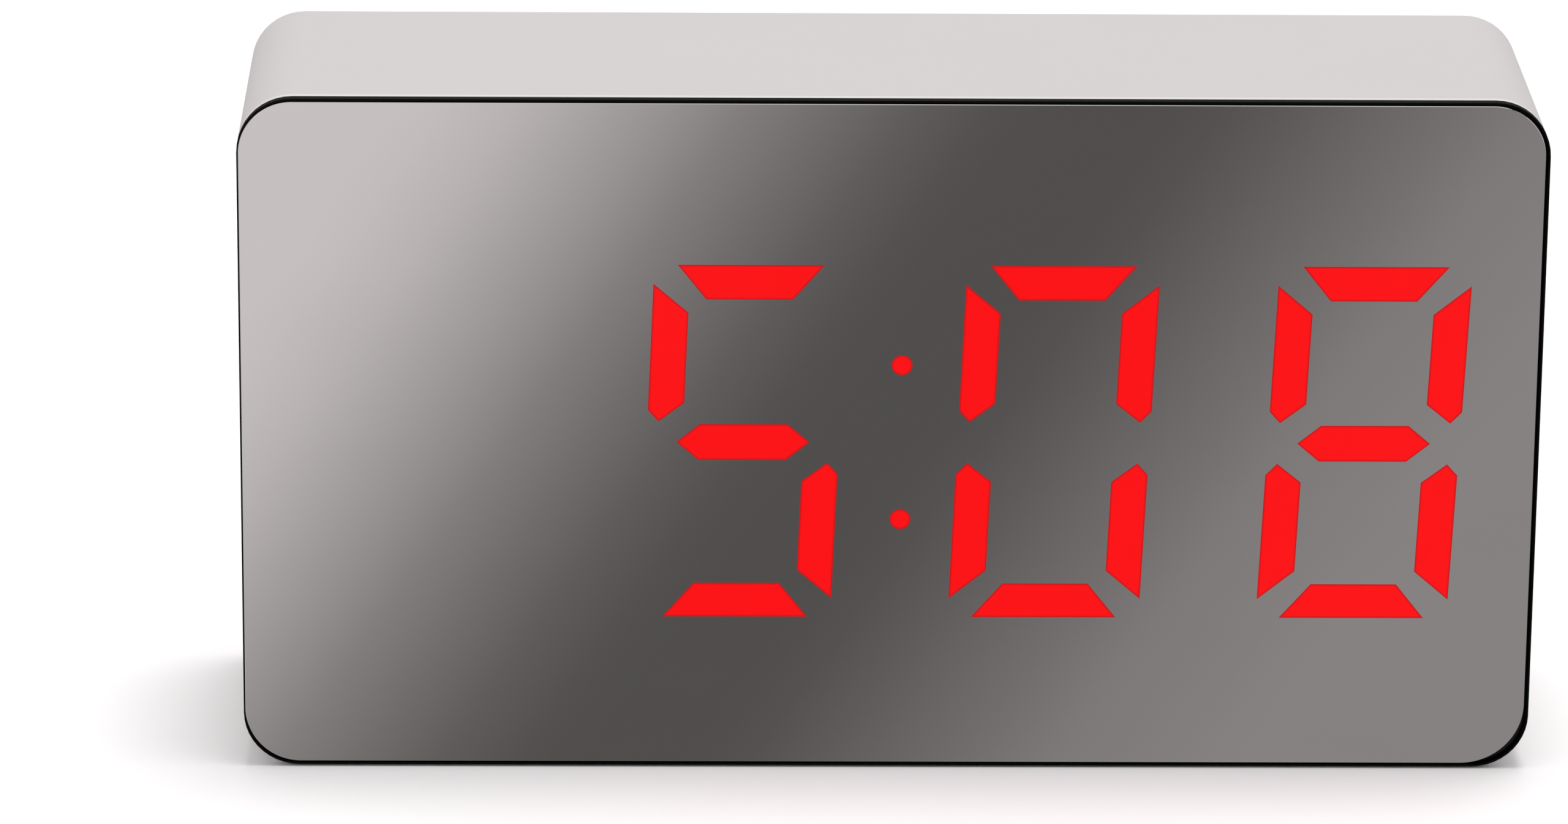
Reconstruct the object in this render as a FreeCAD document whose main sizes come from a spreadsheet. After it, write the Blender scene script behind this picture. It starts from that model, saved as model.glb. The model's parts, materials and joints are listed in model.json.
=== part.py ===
import FreeCAD, Part
import math
import os
import re
import Sketcher

Vector = FreeCAD.Vector

# A small mirror-faced LED alarm clock. Z is up, the face looks along -Y, and the origin is the
# middle of the clock's box on the surface that it stands on. Millimetres throughout.

# Driving dimensions: one spreadsheet cell each.
SIZES = {
    # case
    "case_width": 117.0,
    "case_height": 63.0,
    "case_depth": 30.0,
    "corner_radius": 5.0,
    "shell_wall": 2.0,
    "front_edge_radius": 0.15,
    "rear_edge_radius": 0.4,
    "fit_gap": 0.1,
    # mirror panel and the black frame that carries it
    "mirror_inset": 0.2,
    "mirror_thickness": 0.5,
    "mirror_bevel": 0.08,
    "rim_setback": 0.05,
    "tape_width": 2.2,
    "tape_thickness": 0.1,
    "flange_thickness": 0.4,
    "plate_thickness": 1.6,
    "spigot_wall": 1.4,
    "spigot_length": 3.0,
    # seven-segment display
    "display_shift": 0.68,
    "digit_drop": 0.44,
    "digit_height": 33.35,
    "digit_width": 17.35,
    "digit_pitch": 27.97,
    "digit_lean": 0.0384,
    "stroke_width": 3.25,
    "middle_stroke": 3.4,
    "middle_reach": 6.0,
    "middle_nose": 2.05,
    "bar_cut": 2.1,
    "post_cut": 1.78,
    "mitre_run": 2.7,
    "tip_gap": 1.93,
    "tip_inset": 1.0,
    "tip_inner_rise": 1.77,
    "tip_outer_rise": 1.07,
    "colon_shift": 0.25,
    "colon_rise": 7.3,
    "colon_radius": 0.95,
    "block_margin": 1.8,
    "face_gap": 0.3,
    "mask_thickness": 0.2,
    "diffuser_thickness": 1.4,
    "reflector_thickness": 5.9,
    "led_length": 1.6,
    "led_width": 0.8,
    "led_thickness": 0.6,
    # boards and their screws
    "board_thickness": 1.6,
    "board_margin": 0.9,
    "board_ear_half": 43.0,
    "ear_margin": 3.7,
    "post_radius": 2.5,
    "post_reach": 36.0,
    "post_rise": 3.7,
    "board_screw_radius": 1.1,
    "board_screw_length": 5.0,
    "board_screw_head": 2.0,
    "board_screw_head_height": 1.4,
    # case screws and their bosses
    "boss_radius": 3.0,
    "boss_side_inset": 8.5,
    "boss_end_inset": 7.0,
    "boss_meeting": 18.0,
    "case_screw_radius": 1.25,
    "case_screw_length": 14.0,
    "case_screw_head": 2.3,
    "case_screw_head_height": 1.8,
    "case_screw_sink": 5.0,
    "screw_clearance": 0.25,
    "pilot_spare": 0.5,
    "pilot_gap": 0.02,
    # battery cells, their bay, contacts and door
    "cell_radius": 5.2,
    "cell_length": 44.5,
    "cell_gap": 0.4,
    "cell_nub_radius": 1.9,
    "cell_nub_length": 1.0,
    "cell_rim": 0.3,
    "cell_jacket": 0.5,
    "contact_thickness": 0.4,
    "contact_margin": 0.7,
    "tail_half": 1.4,
    "tail_proud": 1.0,
    "spring_height": 3.1,
    "spring_base_radius": 3.6,
    "spring_lean": 26.0,
    "spring_wire_radius": 0.25,
    "spring_pitch": 0.85,
    "bay_rise": 8.0,
    "bay_wall": 1.5,
    "bay_floor_thickness": 1.2,
    "door_thickness": 1.6,
    "door_ledge": 1.0,
    "door_gap": 0.25,
    "door_corner": 1.5,
    "tab_reach": 2.2,
    "tab_thickness": 1.2,
    "tab_width": 6.0,
    "tab_spacing": 28.0,
    "tab_swing": 1.1,
    "latch_width": 9.0,
    "grip_pitch": 1.4,
    "grip_depth": 0.3,
    # buttons, switches and button board
    "button_proud": 0.6,
    "button_radius": 2.75,
    "button_gap": 0.15,
    "button_pitch": 12.0,
    "button_drop": 10.5,
    "button_travel": 0.3,
    "button_lip": 0.85,
    "button_flange_thickness": 1.0,
    "button_stem_radius": 1.6,
    "button_rounding": 0.4,
    "switch_side": 6.0,
    "switch_height": 3.5,
    "plunger_radius": 1.7,
    "plunger_proud": 1.2,
    "button_board_thickness": 1.2,
    "button_board_depth": 20.3,
    "button_board_height": 13.0,
    "button_board_left": -45.5,
    "button_board_right": 33.5,
    "button_post_radius": 2.2,
    "button_post_left": -31.0,
    "button_post_right": 30.5,
    "button_screw_radius": 0.9,
    "button_screw_length": 4.5,
    "button_screw_head": 1.8,
    "button_screw_head_height": 1.2,
    # parts on the display board
    "clock_chip_up": 22.0,
    "clock_chip_length": 17.9,
    "clock_chip_width": 7.5,
    "clock_chip_height": 2.3,
    "driver_chip_up": 37.0,
    "driver_chip_length": 10.0,
    "driver_chip_width": 4.0,
    "driver_chip_height": 1.6,
    "chip_across": -10.0,
    "chip_edge": 0.2,
    "lead_pitch": 1.27,
    "lead_length": 1.2,
    "lead_width": 0.42,
    "lead_thickness": 0.25,
    "crystal_across": 11.5,
    "crystal_length": 11.0,
    "crystal_width": 4.5,
    "crystal_height": 3.5,
    "crystal_rounding": 0.5,
    "capacitor_across": -40.0,
    "capacitor_up": 30.0,
    "capacitor_radius": 3.15,
    "capacitor_height": 7.0,
    "capacitor_base": 0.6,
    "capacitor_neck_depth": 0.2,
    "resistor_across": -24.0,
    "resistor_pitch": 3.2,
    "resistor_length": 2.0,
    "resistor_width": 1.25,
    "resistor_height": 0.5,
    # micro-USB inlet
    "usb_across": -40.0,
    "usb_width": 7.5,
    "usb_height": 2.85,
    "usb_wall": 0.3,
    "usb_recess": 0.8,
    "usb_opening_gap": 0.35,
    # buzzer
    "buzzer_across": 40.0,
    "buzzer_up": 30.0,
    "buzzer_radius": 6.0,
    "buzzer_height": 6.0,
    "sound_hole_radius": 0.7,
    "sound_ring_radius": 3.0,
    # pads under the clock
    "pad_proud": 0.2,
    "pad_thickness": 1.2,
    "pad_radius": 4.0,
    "pad_side_inset": 12.5,
    "pad_end_inset": 7.5,
    # wires
    "wire_radius": 0.5,
    "wire_rise": 2.8,
    "wire_drop": 2.5,
    "black_pad_shift": 7.0,
    "red_pad_shift": -12.0,
    "ribbon_width": 8.0,
    "ribbon_thickness": 0.9,
    "ribbon_inset": 2.0,
    "ribbon_drop": 5.5,
    "ribbon_slack": 4.5,
}

# Sizes that follow from the cells, named so that a piece and what fits it share them.
# A "depth" is measured back from the mirror's front face.
DERIVED = {
    "front_plane": "-(case_depth + button_proud) / 2",
    "half_width": "case_width / 2",
    "case_low": "pad_proud",
    "case_high": "pad_proud + case_height",
    "case_middle": "pad_proud + case_height / 2",
    "frame_front": "mirror_thickness",
    "shell_front": "frame_front + flange_thickness",
    "plate_back": "frame_front + plate_thickness",
    "spigot_inset": "shell_wall + fit_gap",
    "spigot_back": "plate_back + spigot_length",
    "rear_inside": "case_depth - shell_wall",
    "digit_middle": "case_middle - digit_drop",
    "face_depth": "mirror_thickness + face_gap",
    "half_tall": "digit_height / 2",
    "half_wide": "digit_width / 2",
    "half_block": "1.5 * digit_pitch + half_wide + digit_lean * half_tall + block_margin",
    "block_left": "display_shift - half_block",
    "block_right": "display_shift + half_block",
    "block_low": "digit_middle - half_tall - block_margin",
    "block_high": "digit_middle + half_tall + block_margin",
    "mask_back": "face_depth + mask_thickness",
    "board_front": "mask_back + reflector_thickness",
    "board_back": "board_front + board_thickness",
    "colon_across": "display_shift + colon_shift",
    "board_left": "block_left - board_margin",
    "board_right": "block_right + board_margin",
    "board_low": "block_low - board_margin",
    "board_high": "block_high + board_margin",
    "post_low": "block_low - post_rise",
    "post_high": "block_high + post_rise",
    "ear_low": "post_low - ear_margin",
    "ear_high": "post_high + ear_margin",
    "boss_across": "half_width - boss_side_inset",
    "boss_low": "case_low + boss_end_inset",
    "boss_high": "case_high - boss_end_inset",
    "screw_seat": "case_depth - case_screw_sink",
    "bay_length": "cell_length + 2 * contact_thickness + spring_height",
    "bay_half": "bay_length / 2",
    "bay_low": "case_low + bay_rise",
    "contact_half": "cell_radius - contact_margin",
    "cell_pitch": "2 * cell_radius + cell_gap",
    "bay_high": "bay_low + 2 * cell_pitch + 2 * cell_radius + 2 * cell_gap",
    "cell_low": "bay_low + cell_gap + cell_radius",
    "door_inside": "case_depth - door_thickness",
    "bay_floor": "door_inside - 2 * cell_radius - cell_gap",
    "bay_front": "bay_floor - bay_floor_thickness",
    "cell_depth": "bay_floor + cell_radius + fit_gap",
    "door_half": "bay_half + door_ledge",
    "door_low": "bay_low - door_ledge",
    "door_high": "bay_high + door_ledge",
    "tab_rear": "rear_inside - 2 * fit_gap",
    "tab_front": "tab_rear - tab_thickness",
    "button_up": "case_high - button_drop",
    "button_end": "case_depth + button_proud",
    "flange_rear": "rear_inside - 2 * fit_gap",
    "flange_front": "flange_rear - button_flange_thickness",
    "button_board_rear": "button_board_depth + button_board_thickness",
    "button_board_low": "button_up - button_board_height / 2",
    "button_board_high": "button_up + button_board_height / 2",
    "switch_rear": "button_board_rear + switch_height",
    "plunger_rear": "switch_rear + plunger_proud",
    "plunger_front": "switch_rear - 2 * button_travel",
    "plunger_well": "plunger_front - button_travel - fit_gap",
    "usb_rear": "case_depth - usb_recess",
    "pad_front_depth": "shell_front + pad_end_inset",
    "pad_rear_depth": "case_depth - pad_end_inset",
    "wire_level": "board_back + wire_rise",
}

# Which segments of each digit place glow: nothing, then 5, 0 and 8.
LIT = ["", "afgcd", "abcdef", "abcdefg"]
ALL_SEGMENTS = "abcdefg"
BUTTONS = ["mode", "set", "up", "down", "snooze"]
CELL_COUNT = 3
GRIP_COUNT = 4

document = FreeCAD.newDocument("alarm_clock")
sheet = document.addObject("Spreadsheet::Sheet", "sizes")
for row, (alias, value) in enumerate(SIZES.items(), start=1):
    sheet.set("A%d" % row, alias.replace("_", " "))
    sheet.set("B%d" % row, str(value))
    sheet.setAlias("B%d" % row, alias)
document.recompute()


def formula(text):
    """Write a formula over named sizes as an expression over the sheet's cells."""
    def spell(match):
        word = match.group()
        if word in SIZES:
            return "sizes." + word
        if word in DERIVED:
            return "(" + formula(DERIVED[word]) + ")"
        raise ValueError("no size is called " + word)
    return re.sub(r"[a-z_]+", spell, str(text))


def amount(text):
    """The present value of a formula."""
    return float(sheet.evalExpression(formula(text)))


def at_depth(depth):
    """The Y of a depth behind the mirror's front face."""
    return "front_plane + (%s)" % depth


def bind(thing, path, text):
    thing.setExpression(path, formula(text))


# ---- sketches ----

def new_body(label):
    body = document.addObject("PartDesign::Body", label)
    body.Label = label
    return body


def sketch_on(body, role, name, offset):
    """A sketch on one of the body's origin planes, moved along its normal by a formula."""
    sketch = body.newObject("Sketcher::SketchObject", name)
    plane = next(item for item in body.Origin.OriginFeatures if item.Role == role)
    sketch.AttachmentSupport = [(plane, "")]
    sketch.MapMode = "FlatFace"
    bind(sketch, "AttachmentOffset.Base.z", offset)
    return sketch


def face_sketch(body, name, depth):
    """A sketch parallel to the clock's face: across is X and up is Z."""
    return sketch_on(body, "XZ_Plane", name, "-(%s)" % at_depth(depth))


def hold(sketch, kind, geometry, point, text):
    number = sketch.addConstraint(Sketcher.Constraint(kind, -1, 1, geometry, point, amount(text)))
    bind(sketch, "Constraints[%d]" % number, text)


def place_point(sketch, geometry, point, across, up):
    hold(sketch, "DistanceX", geometry, point, across)
    hold(sketch, "DistanceY", geometry, point, up)


def polygon(sketch, corners):
    """A closed outline through corners given as pairs of formulas."""
    places = [Vector(amount(across), amount(up), 0) for across, up in corners]
    lines = [Part.LineSegment(a, b) for a, b in zip(places, places[1:] + places[:1])]
    first = sketch.addGeometry(lines, False)[0]
    count = len(corners)
    for k in range(count):
        following = first + (k + 1) % count
        sketch.addConstraint(Sketcher.Constraint("Coincident", first + k, 2, following, 1))
    for k, (across, up) in enumerate(corners):
        place_point(sketch, first + k, 1, across, up)


def rectangle(sketch, left, right, low, high):
    polygon(sketch, [(left, low), (right, low), (right, high), (left, high)])


def circle(sketch, across, up, radius):
    centre = Vector(amount(across), amount(up), 0)
    number = sketch.addGeometry(Part.Circle(centre, Vector(0, 0, 1), amount(radius)), False)
    place_point(sketch, number, 3, across, up)
    rule = sketch.addConstraint(Sketcher.Constraint("Radius", number, amount(radius)))
    bind(sketch, "Constraints[%d]" % rule, radius)


def rounded_rectangle(sketch, left, right, low, high, radius):
    """Four straight sides joined by four tangent quarter circles of one radius."""
    x0, x1, z0, z1 = amount(left), amount(right), amount(low), amount(high)
    r = amount(radius)
    sides = [
        Part.LineSegment(Vector(x0 + r, z0, 0), Vector(x1 - r, z0, 0)),
        Part.LineSegment(Vector(x1, z0 + r, 0), Vector(x1, z1 - r, 0)),
        Part.LineSegment(Vector(x1 - r, z1, 0), Vector(x0 + r, z1, 0)),
        Part.LineSegment(Vector(x0, z1 - r, 0), Vector(x0, z0 + r, 0)),
    ]
    centres = [(x1 - r, z0 + r), (x1 - r, z1 - r), (x0 + r, z1 - r), (x0 + r, z0 + r)]
    first = sketch.addGeometry(sides, False)[0]
    arcs = []
    for k, (x, z) in enumerate(centres):
        turn = Part.Circle(Vector(x, z, 0), Vector(0, 0, 1), r)
        start = math.radians(90 * (k - 1))
        arcs.append(Part.ArcOfCircle(turn, start, start + math.pi / 2))
    corner = sketch.addGeometry(arcs, False)[0]
    for k in range(4):
        following = first + (k + 1) % 4
        sketch.addConstraint(Sketcher.Constraint("Tangent", first + k, 2, corner + k, 1))
        sketch.addConstraint(Sketcher.Constraint("Tangent", corner + k, 2, following, 1))
        kind = "Horizontal" if k % 2 == 0 else "Vertical"
        sketch.addConstraint(Sketcher.Constraint(kind, first + k))
    for k in range(1, 4):
        sketch.addConstraint(Sketcher.Constraint("Equal", corner, corner + k))
    rule = sketch.addConstraint(Sketcher.Constraint("Radius", corner, r))
    bind(sketch, "Constraints[%d]" % rule, radius)
    hold(sketch, "DistanceY", first, 1, low)
    hold(sketch, "DistanceX", first + 1, 1, right)
    hold(sketch, "DistanceY", first + 2, 1, high)
    hold(sketch, "DistanceX", first + 3, 1, left)


def case_outline(sketch, inset):
    """The clock's outline, drawn in by an even inset that also tightens its corners."""
    rounded_rectangle(
        sketch,
        "-(half_width - (%s))" % inset,
        "half_width - (%s)" % inset,
        "case_low + (%s)" % inset,
        "case_high - (%s)" % inset,
        "corner_radius - (%s)" % inset,
    )


# ---- features ----

def pad(body, sketch, near, far):
    """Thicken a face sketch drawn at depth near, back to depth far."""
    feature = body.newObject("PartDesign::Pad", sketch.Name + "_pad")
    feature.Profile = sketch
    feature.Reversed = True
    bind(feature, "Length", "(%s) - (%s)" % (far, near))
    return feature


def pocket(body, sketch, near, far):
    """Cut a face sketch drawn at depth near, back to depth far."""
    feature = body.newObject("PartDesign::Pocket", sketch.Name + "_pocket")
    feature.Profile = sketch
    bind(feature, "Length", "(%s) - (%s)" % (far, near))
    return feature


def layer(body, name, near, far, draw, feature=pad):
    """Draw a sketch at one depth with draw(sketch) and pad or pocket it to another."""
    sketch = face_sketch(body, name, near)
    draw(sketch)
    return feature(body, sketch, near, far)


def dress(body, kind, name, base, keep, size):
    """A Fillet or Chamfer on the edges of a feature for which keep(edge) is true."""
    document.recompute()
    edges = base.Shape.Edges
    names = ["Edge%d" % (k + 1) for k, edge in enumerate(edges) if keep(edge)]
    feature = body.newObject("PartDesign::" + kind, name)
    feature.Base = (base, names)
    bind(feature, "Radius" if kind == "Fillet" else "Size", size)
    return feature


def lies_at(depth):
    """A test for edges that lie wholly at one depth."""
    plane = amount(at_depth(depth))

    def keep(edge):
        box = edge.BoundBox
        return abs(box.YMin - plane) < 1e-4 and abs(box.YMax - plane) < 1e-4
    return keep


def repeat_across(body, feature, sketch, step, count):
    """Repeat a feature along X."""
    document.recompute()
    pattern = body.newObject("PartDesign::LinearPattern", feature.Name + "_row")
    pattern.Originals = [feature]
    pattern.Direction = (sketch, ["H_Axis"])
    bind(pattern, "Length", "(%s) * %d" % (step, count - 1))
    pattern.Occurrences = count
    body.Tip = pattern
    return pattern


def blocks(label, near, far, boxes):
    """One node of plain blocks: each box is left, right, low, high."""
    body = new_body(label)

    def draw(sketch):
        for left, right, low, high in boxes:
            rectangle(sketch, left, right, low, high)
    layer(body, label + "_plan", near, far, draw)
    return body


def box_about(across, up, width, height):
    half_across = "(%s) / 2" % width
    half_up = "(%s) / 2" % height
    return (
        "(%s) - %s" % (across, half_across),
        "(%s) + %s" % (across, half_across),
        "(%s) - %s" % (up, half_up),
        "(%s) + %s" % (up, half_up),
    )


def plus_corners(across, up, reach, half):
    """A cross of four arms, as formulas about its centre."""
    turns = [(half, reach), (half, half), (reach, half), (reach, "-" + half), (half, "-" + half)]
    turns += [(half, "-" + reach), ("-" + half, "-" + reach), ("-" + half, "-" + half)]
    turns += [("-" + reach, "-" + half), ("-" + reach, half), ("-" + half, half)]
    turns += [("-" + half, reach)]
    return [("(%s) + (%s)" % (across, a), "(%s) + (%s)" % (up, b)) for a, b in turns]


def screws(label, centres, seat, kind, head_to_rear):
    """Pan-head screws with a cross recess, on depth seat under their heads."""
    body = new_body(label)
    head = kind + "_head"
    height = kind + "_head_height"
    if head_to_rear:
        head_near, head_far = seat, "%s + %s" % (seat, height)
        shank_near, shank_far = "%s - %s_length" % (seat, kind), seat
        recess_near, recess_far = "(%s) - %s / 2" % (head_far, height), head_far
        outside = head_far
    else:
        head_near, head_far = "%s - %s" % (seat, height), seat
        shank_near, shank_far = seat, "%s + %s_length" % (seat, kind)
        recess_near, recess_far = head_near, "(%s) + %s / 2" % (head_near, height)
        outside = head_near

    def discs(radius):
        def draw(sketch):
            for across, up in centres:
                circle(sketch, across, up, radius)
        return draw

    def crosses(sketch):
        for across, up in centres:
            polygon(sketch, plus_corners(across, up, "%s * 0.55" % head, "%s * 0.14" % head))

    crown = layer(body, label + "_heads", head_near, head_far, discs(head))
    dress(body, "Fillet", label + "_crown", crown, lies_at(outside), "%s * 0.35" % height)
    layer(body, label + "_shanks", shank_near, shank_far, discs(kind + "_radius"))
    layer(body, label + "_crosses", recess_near, recess_far, crosses, pocket)
    return body


# ---- seven-segment digits ----

def bar_corners(up):
    """The top or bottom bar, about the digit's middle and before it leans."""
    outer = "half_wide - bar_cut"
    inner = "half_wide - bar_cut - mitre_run"
    far = "%d * half_tall" % up
    near = "%d * (half_tall - stroke_width)" % up
    return [("-(%s)" % outer, far), (outer, far), (inner, near), ("-(%s)" % inner, near)]


def middle_corners():
    """The middle bar, pointed at both ends."""
    flat = "middle_reach - middle_nose"
    half = "middle_stroke / 2"
    upper = [("-(%s)" % flat, half), (flat, half), ("middle_reach", "0")]
    lower = [(flat, "-(%s)" % half), ("-(%s)" % flat, "-(%s)" % half), ("-middle_reach", "0")]
    return upper + lower


def post_corners(side, up):
    """One upright: mitred at the digit's corner and pointed at its middle."""
    corners = [
        ("half_wide", "half_tall - post_cut"),
        ("half_wide - stroke_width", "half_tall - post_cut - mitre_run"),
        ("half_wide - stroke_width", "tip_gap + tip_inner_rise"),
        ("half_wide - tip_inset", "tip_gap"),
        ("half_wide", "tip_gap + tip_outer_rise"),
    ]
    return [("%d * (%s)" % (side, a), "%d * (%s)" % (up, b)) for a, b in corners]


SEGMENT_CORNERS = {
    "a": bar_corners(1),
    "b": post_corners(1, 1),
    "c": post_corners(1, -1),
    "d": bar_corners(-1),
    "e": post_corners(-1, -1),
    "f": post_corners(-1, 1),
    "g": middle_corners(),
}

# Where each segment's two LED chips sit about the digit's middle, and whether it is upright.
BAR_LED_REACH = "half_wide * 0.3"
POST_LED_ACROSS = "half_wide - stroke_width / 2"
POST_LED_RISES = ["half_tall * 0.36", "half_tall * 0.66"]
SEGMENT_RISES = {"a": "half_tall - stroke_width / 2", "g": "0", "d": "stroke_width / 2 - half_tall"}
POST_SIDES = {"b": (1, 1), "c": (1, -1), "e": (-1, -1), "f": (-1, 1)}


def digit_across(place):
    return "display_shift + digit_pitch * %s" % (place - 1.5)


def leaned(place, across, up):
    """Shear a point about the digit's middle and carry it to its digit place."""
    shifted = "%s + (%s) + digit_lean * (%s)" % (digit_across(place), across, up)
    return shifted, "digit_middle + (%s)" % up


def draw_segments(sketch, place, names):
    for name in names:
        polygon(sketch, [leaned(place, across, up) for across, up in SEGMENT_CORNERS[name]])


def draw_colon(sketch):
    for sign in (1, -1):
        circle(sketch, "colon_across", "digit_middle + %d * colon_rise" % sign, "colon_radius")


def pierced_block(label, near, far, corner):
    """A slab the size of the display with a hole for every segment and colon dot."""
    body = new_body(label)

    def slab(sketch):
        rounded_rectangle(sketch, "block_left", "block_right", "block_low", "block_high", corner)
    layer(body, label + "_slab", near, far, slab)
    sketch = face_sketch(body, label + "_digit", near)
    draw_segments(sketch, 0, ALL_SEGMENTS)
    digit = pocket(body, sketch, near, far)
    repeat_across(body, digit, sketch, "digit_pitch", len(LIT))
    layer(body, label + "_colon", near, far, draw_colon, pocket)
    return body


def diffusers(label, chosen):
    """The cast segment windows of one node: chosen gives each digit place's letters."""
    body = new_body(label)
    for place, names in enumerate(chosen):
        if names:
            layer(
                body, "%s_%d" % (label, place), "face_depth", "face_depth + diffuser_thickness",
                lambda sketch: draw_segments(sketch, place, names),
            )
    return body


def led_boxes(place):
    """Plan boxes of one digit's LED chips."""
    boxes = []
    for rise in SEGMENT_RISES.values():
        for sign in (-1, 1):
            across, up = leaned(place, "%d * %s" % (sign, BAR_LED_REACH), rise)
            boxes.append(box_about(across, up, "led_length", "led_width"))
    for side, upward in POST_SIDES.values():
        for rise in POST_LED_RISES:
            reach = "%d * (%s)" % (side, POST_LED_ACROSS)
            across, up = leaned(place, reach, "%d * %s" % (upward, rise))
            boxes.append(box_about(across, up, "led_width", "led_length"))
    return boxes


# ---- case ----

def four_corners(across, low, high):
    return [("-(%s)" % across, low), (across, low), ("-(%s)" % across, high), (across, high)]


CASE_SCREW_CENTRES = four_corners("boss_across", "boss_low", "boss_high")
BOARD_SCREW_CENTRES = four_corners("post_reach", "post_low", "post_high")
BUTTON_SCREW_CENTRES = [("button_post_left", "button_up"), ("button_post_right", "button_up")]


def discs_at(centres, radius):
    def draw(sketch):
        for across, up in centres:
            circle(sketch, across, up, radius)
    return draw


def make_mirror_panel():
    """Half-mirrored acrylic sheet with a fine bevel round its front edge."""
    body = new_body("mirror_panel")
    sheet_pad = layer(
        body, "mirror_outline", "0", "mirror_thickness",
        lambda sketch: case_outline(sketch, "mirror_inset"),
    )
    dress(body, "Chamfer", "mirror_edge", sheet_pad, lies_at("0"), "mirror_bevel")


def tape_ring(sketch):
    case_outline(sketch, "mirror_inset + 2 * fit_gap")
    case_outline(sketch, "mirror_inset + 2 * fit_gap + tape_width")


def make_panel_tape():
    """Die-cut double-sided tape that lies in a shallow bed in the front frame."""
    body = new_body("panel_tape")
    layer(body, "tape_ring", "frame_front", "frame_front + tape_thickness", tape_ring)


def make_front_frame():
    """Black frame: rim round the mirror, flange, plate with the display window, spigot, bosses
    and posts."""
    body = new_body("front_frame")
    layer(body, "frame_flange", "frame_front", "shell_front", lambda s: case_outline(s, "0"))

    def rim(sketch):
        case_outline(sketch, "0")
        case_outline(sketch, "mirror_inset")
    layer(body, "frame_rim", "rim_setback", "frame_front", rim)
    layer(
        body, "frame_plate", "shell_front", "plate_back",
        lambda s: case_outline(s, "spigot_inset"),
    )

    def spigot(sketch):
        case_outline(sketch, "spigot_inset")
        case_outline(sketch, "spigot_inset + spigot_wall")
    layer(body, "frame_spigot", "plate_back", "spigot_back", spigot)
    layer(
        body, "frame_bosses", "plate_back", "boss_meeting",
        discs_at(CASE_SCREW_CENTRES, "boss_radius"),
    )
    layer(
        body, "frame_posts", "plate_back", "board_front",
        discs_at(BOARD_SCREW_CENTRES, "post_radius"),
    )
    layer(body, "frame_tape_bed", "frame_front", "frame_front + tape_thickness", tape_ring, pocket)

    def window(sketch):
        rectangle(
            sketch, "block_left - 2 * fit_gap", "block_right + 2 * fit_gap",
            "block_low - 2 * fit_gap", "block_high + 2 * fit_gap",
        )
    layer(body, "frame_window", "frame_front", "plate_back", window, pocket)
    layer(
        body, "frame_boss_pilots", "screw_seat - case_screw_length - pilot_spare", "boss_meeting",
        discs_at(CASE_SCREW_CENTRES, "case_screw_radius + pilot_gap"), pocket,
    )
    layer(
        body, "frame_post_pilots", "board_back - board_screw_length - pilot_spare", "board_front",
        discs_at(BOARD_SCREW_CENTRES, "board_screw_radius + pilot_gap"), pocket,
    )


def make_rear_shell():
    """White bucket with the battery bay, screw bosses, button posts and rear openings."""
    body = new_body("rear_shell")
    skin = layer(body, "shell_skin", "shell_front", "case_depth", lambda s: case_outline(s, "0"))
    rounded = dress(
        body, "Fillet", "shell_rear_edge", skin, lies_at("case_depth"), "rear_edge_radius",
    )
    dress(
        body, "Fillet", "shell_front_edge", rounded, lies_at("shell_front"), "front_edge_radius",
    )
    layer(
        body, "shell_hollow", "shell_front", "rear_inside",
        lambda s: case_outline(s, "shell_wall"), pocket,
    )

    def bay_box(sketch):
        rectangle(
            sketch, "-bay_half - bay_wall", "bay_half + bay_wall",
            "bay_low - bay_wall", "bay_high + bay_wall",
        )
    layer(body, "shell_bay_box", "bay_front", "rear_inside", bay_box)
    layer(
        body, "shell_bosses", "boss_meeting", "rear_inside",
        discs_at(CASE_SCREW_CENTRES, "boss_radius + 2 * fit_gap"),
    )
    layer(
        body, "shell_button_posts", "button_board_rear", "rear_inside",
        discs_at(BUTTON_SCREW_CENTRES, "button_post_radius"),
    )
    cut_bay(body)
    cut_rear_openings(body)
    cut_pad_beds(body)


def cut_bay(body):
    """The cells' space, the door's seat, the tab slots and the contact tails' slots."""
    def inside(sketch):
        rectangle(sketch, "-bay_half", "bay_half", "bay_low", "bay_high")
    layer(body, "bay_inside", "bay_floor", "case_depth", inside, pocket)

    def door_seat(sketch):
        rounded_rectangle(
            sketch, "-door_half - door_gap", "door_half + door_gap",
            "door_low - door_gap", "door_high + door_gap", "door_corner + door_gap",
        )
    layer(body, "bay_door_seat", "door_inside - fit_gap", "case_depth", door_seat, pocket)

    def tab_slots(sketch):
        for sign in (-1, 1):
            middle = "%d * tab_spacing / 2" % sign
            half = "tab_width / 2 + door_gap"
            rectangle(
                sketch, "%s - (%s)" % (middle, half), "%s + (%s)" % (middle, half),
                "bay_low - bay_wall", "bay_low",
            )
    layer(body, "bay_tab_slots", "tab_front - tab_swing", "door_inside", tab_slots, pocket)

    def tail_slots(sketch):
        for left, right, up in contact_tails():
            rectangle(sketch, left, right, "%s - tail_half" % up, "%s + tail_half" % up)
    layer(body, "bay_tail_slots", "bay_front", "bay_floor", tail_slots, pocket)

    def thumb_scoop(sketch):
        circle(sketch, "0", "door_high", "latch_width / 2")
    scoop_floor = "case_depth - door_thickness / 2"
    layer(body, "bay_thumb_scoop", scoop_floor, "case_depth", thumb_scoop, pocket)


def contact_tails():
    """Where the two end contacts pass the bay floor: left, right, height of each."""
    negative = ("-bay_half", "-bay_half + contact_thickness", cell_up(0))
    positive = ("bay_half - contact_thickness", "bay_half", cell_up(CELL_COUNT - 1))
    return [negative, positive]


def cell_up(number):
    return "cell_low + %d * cell_pitch" % number


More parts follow.
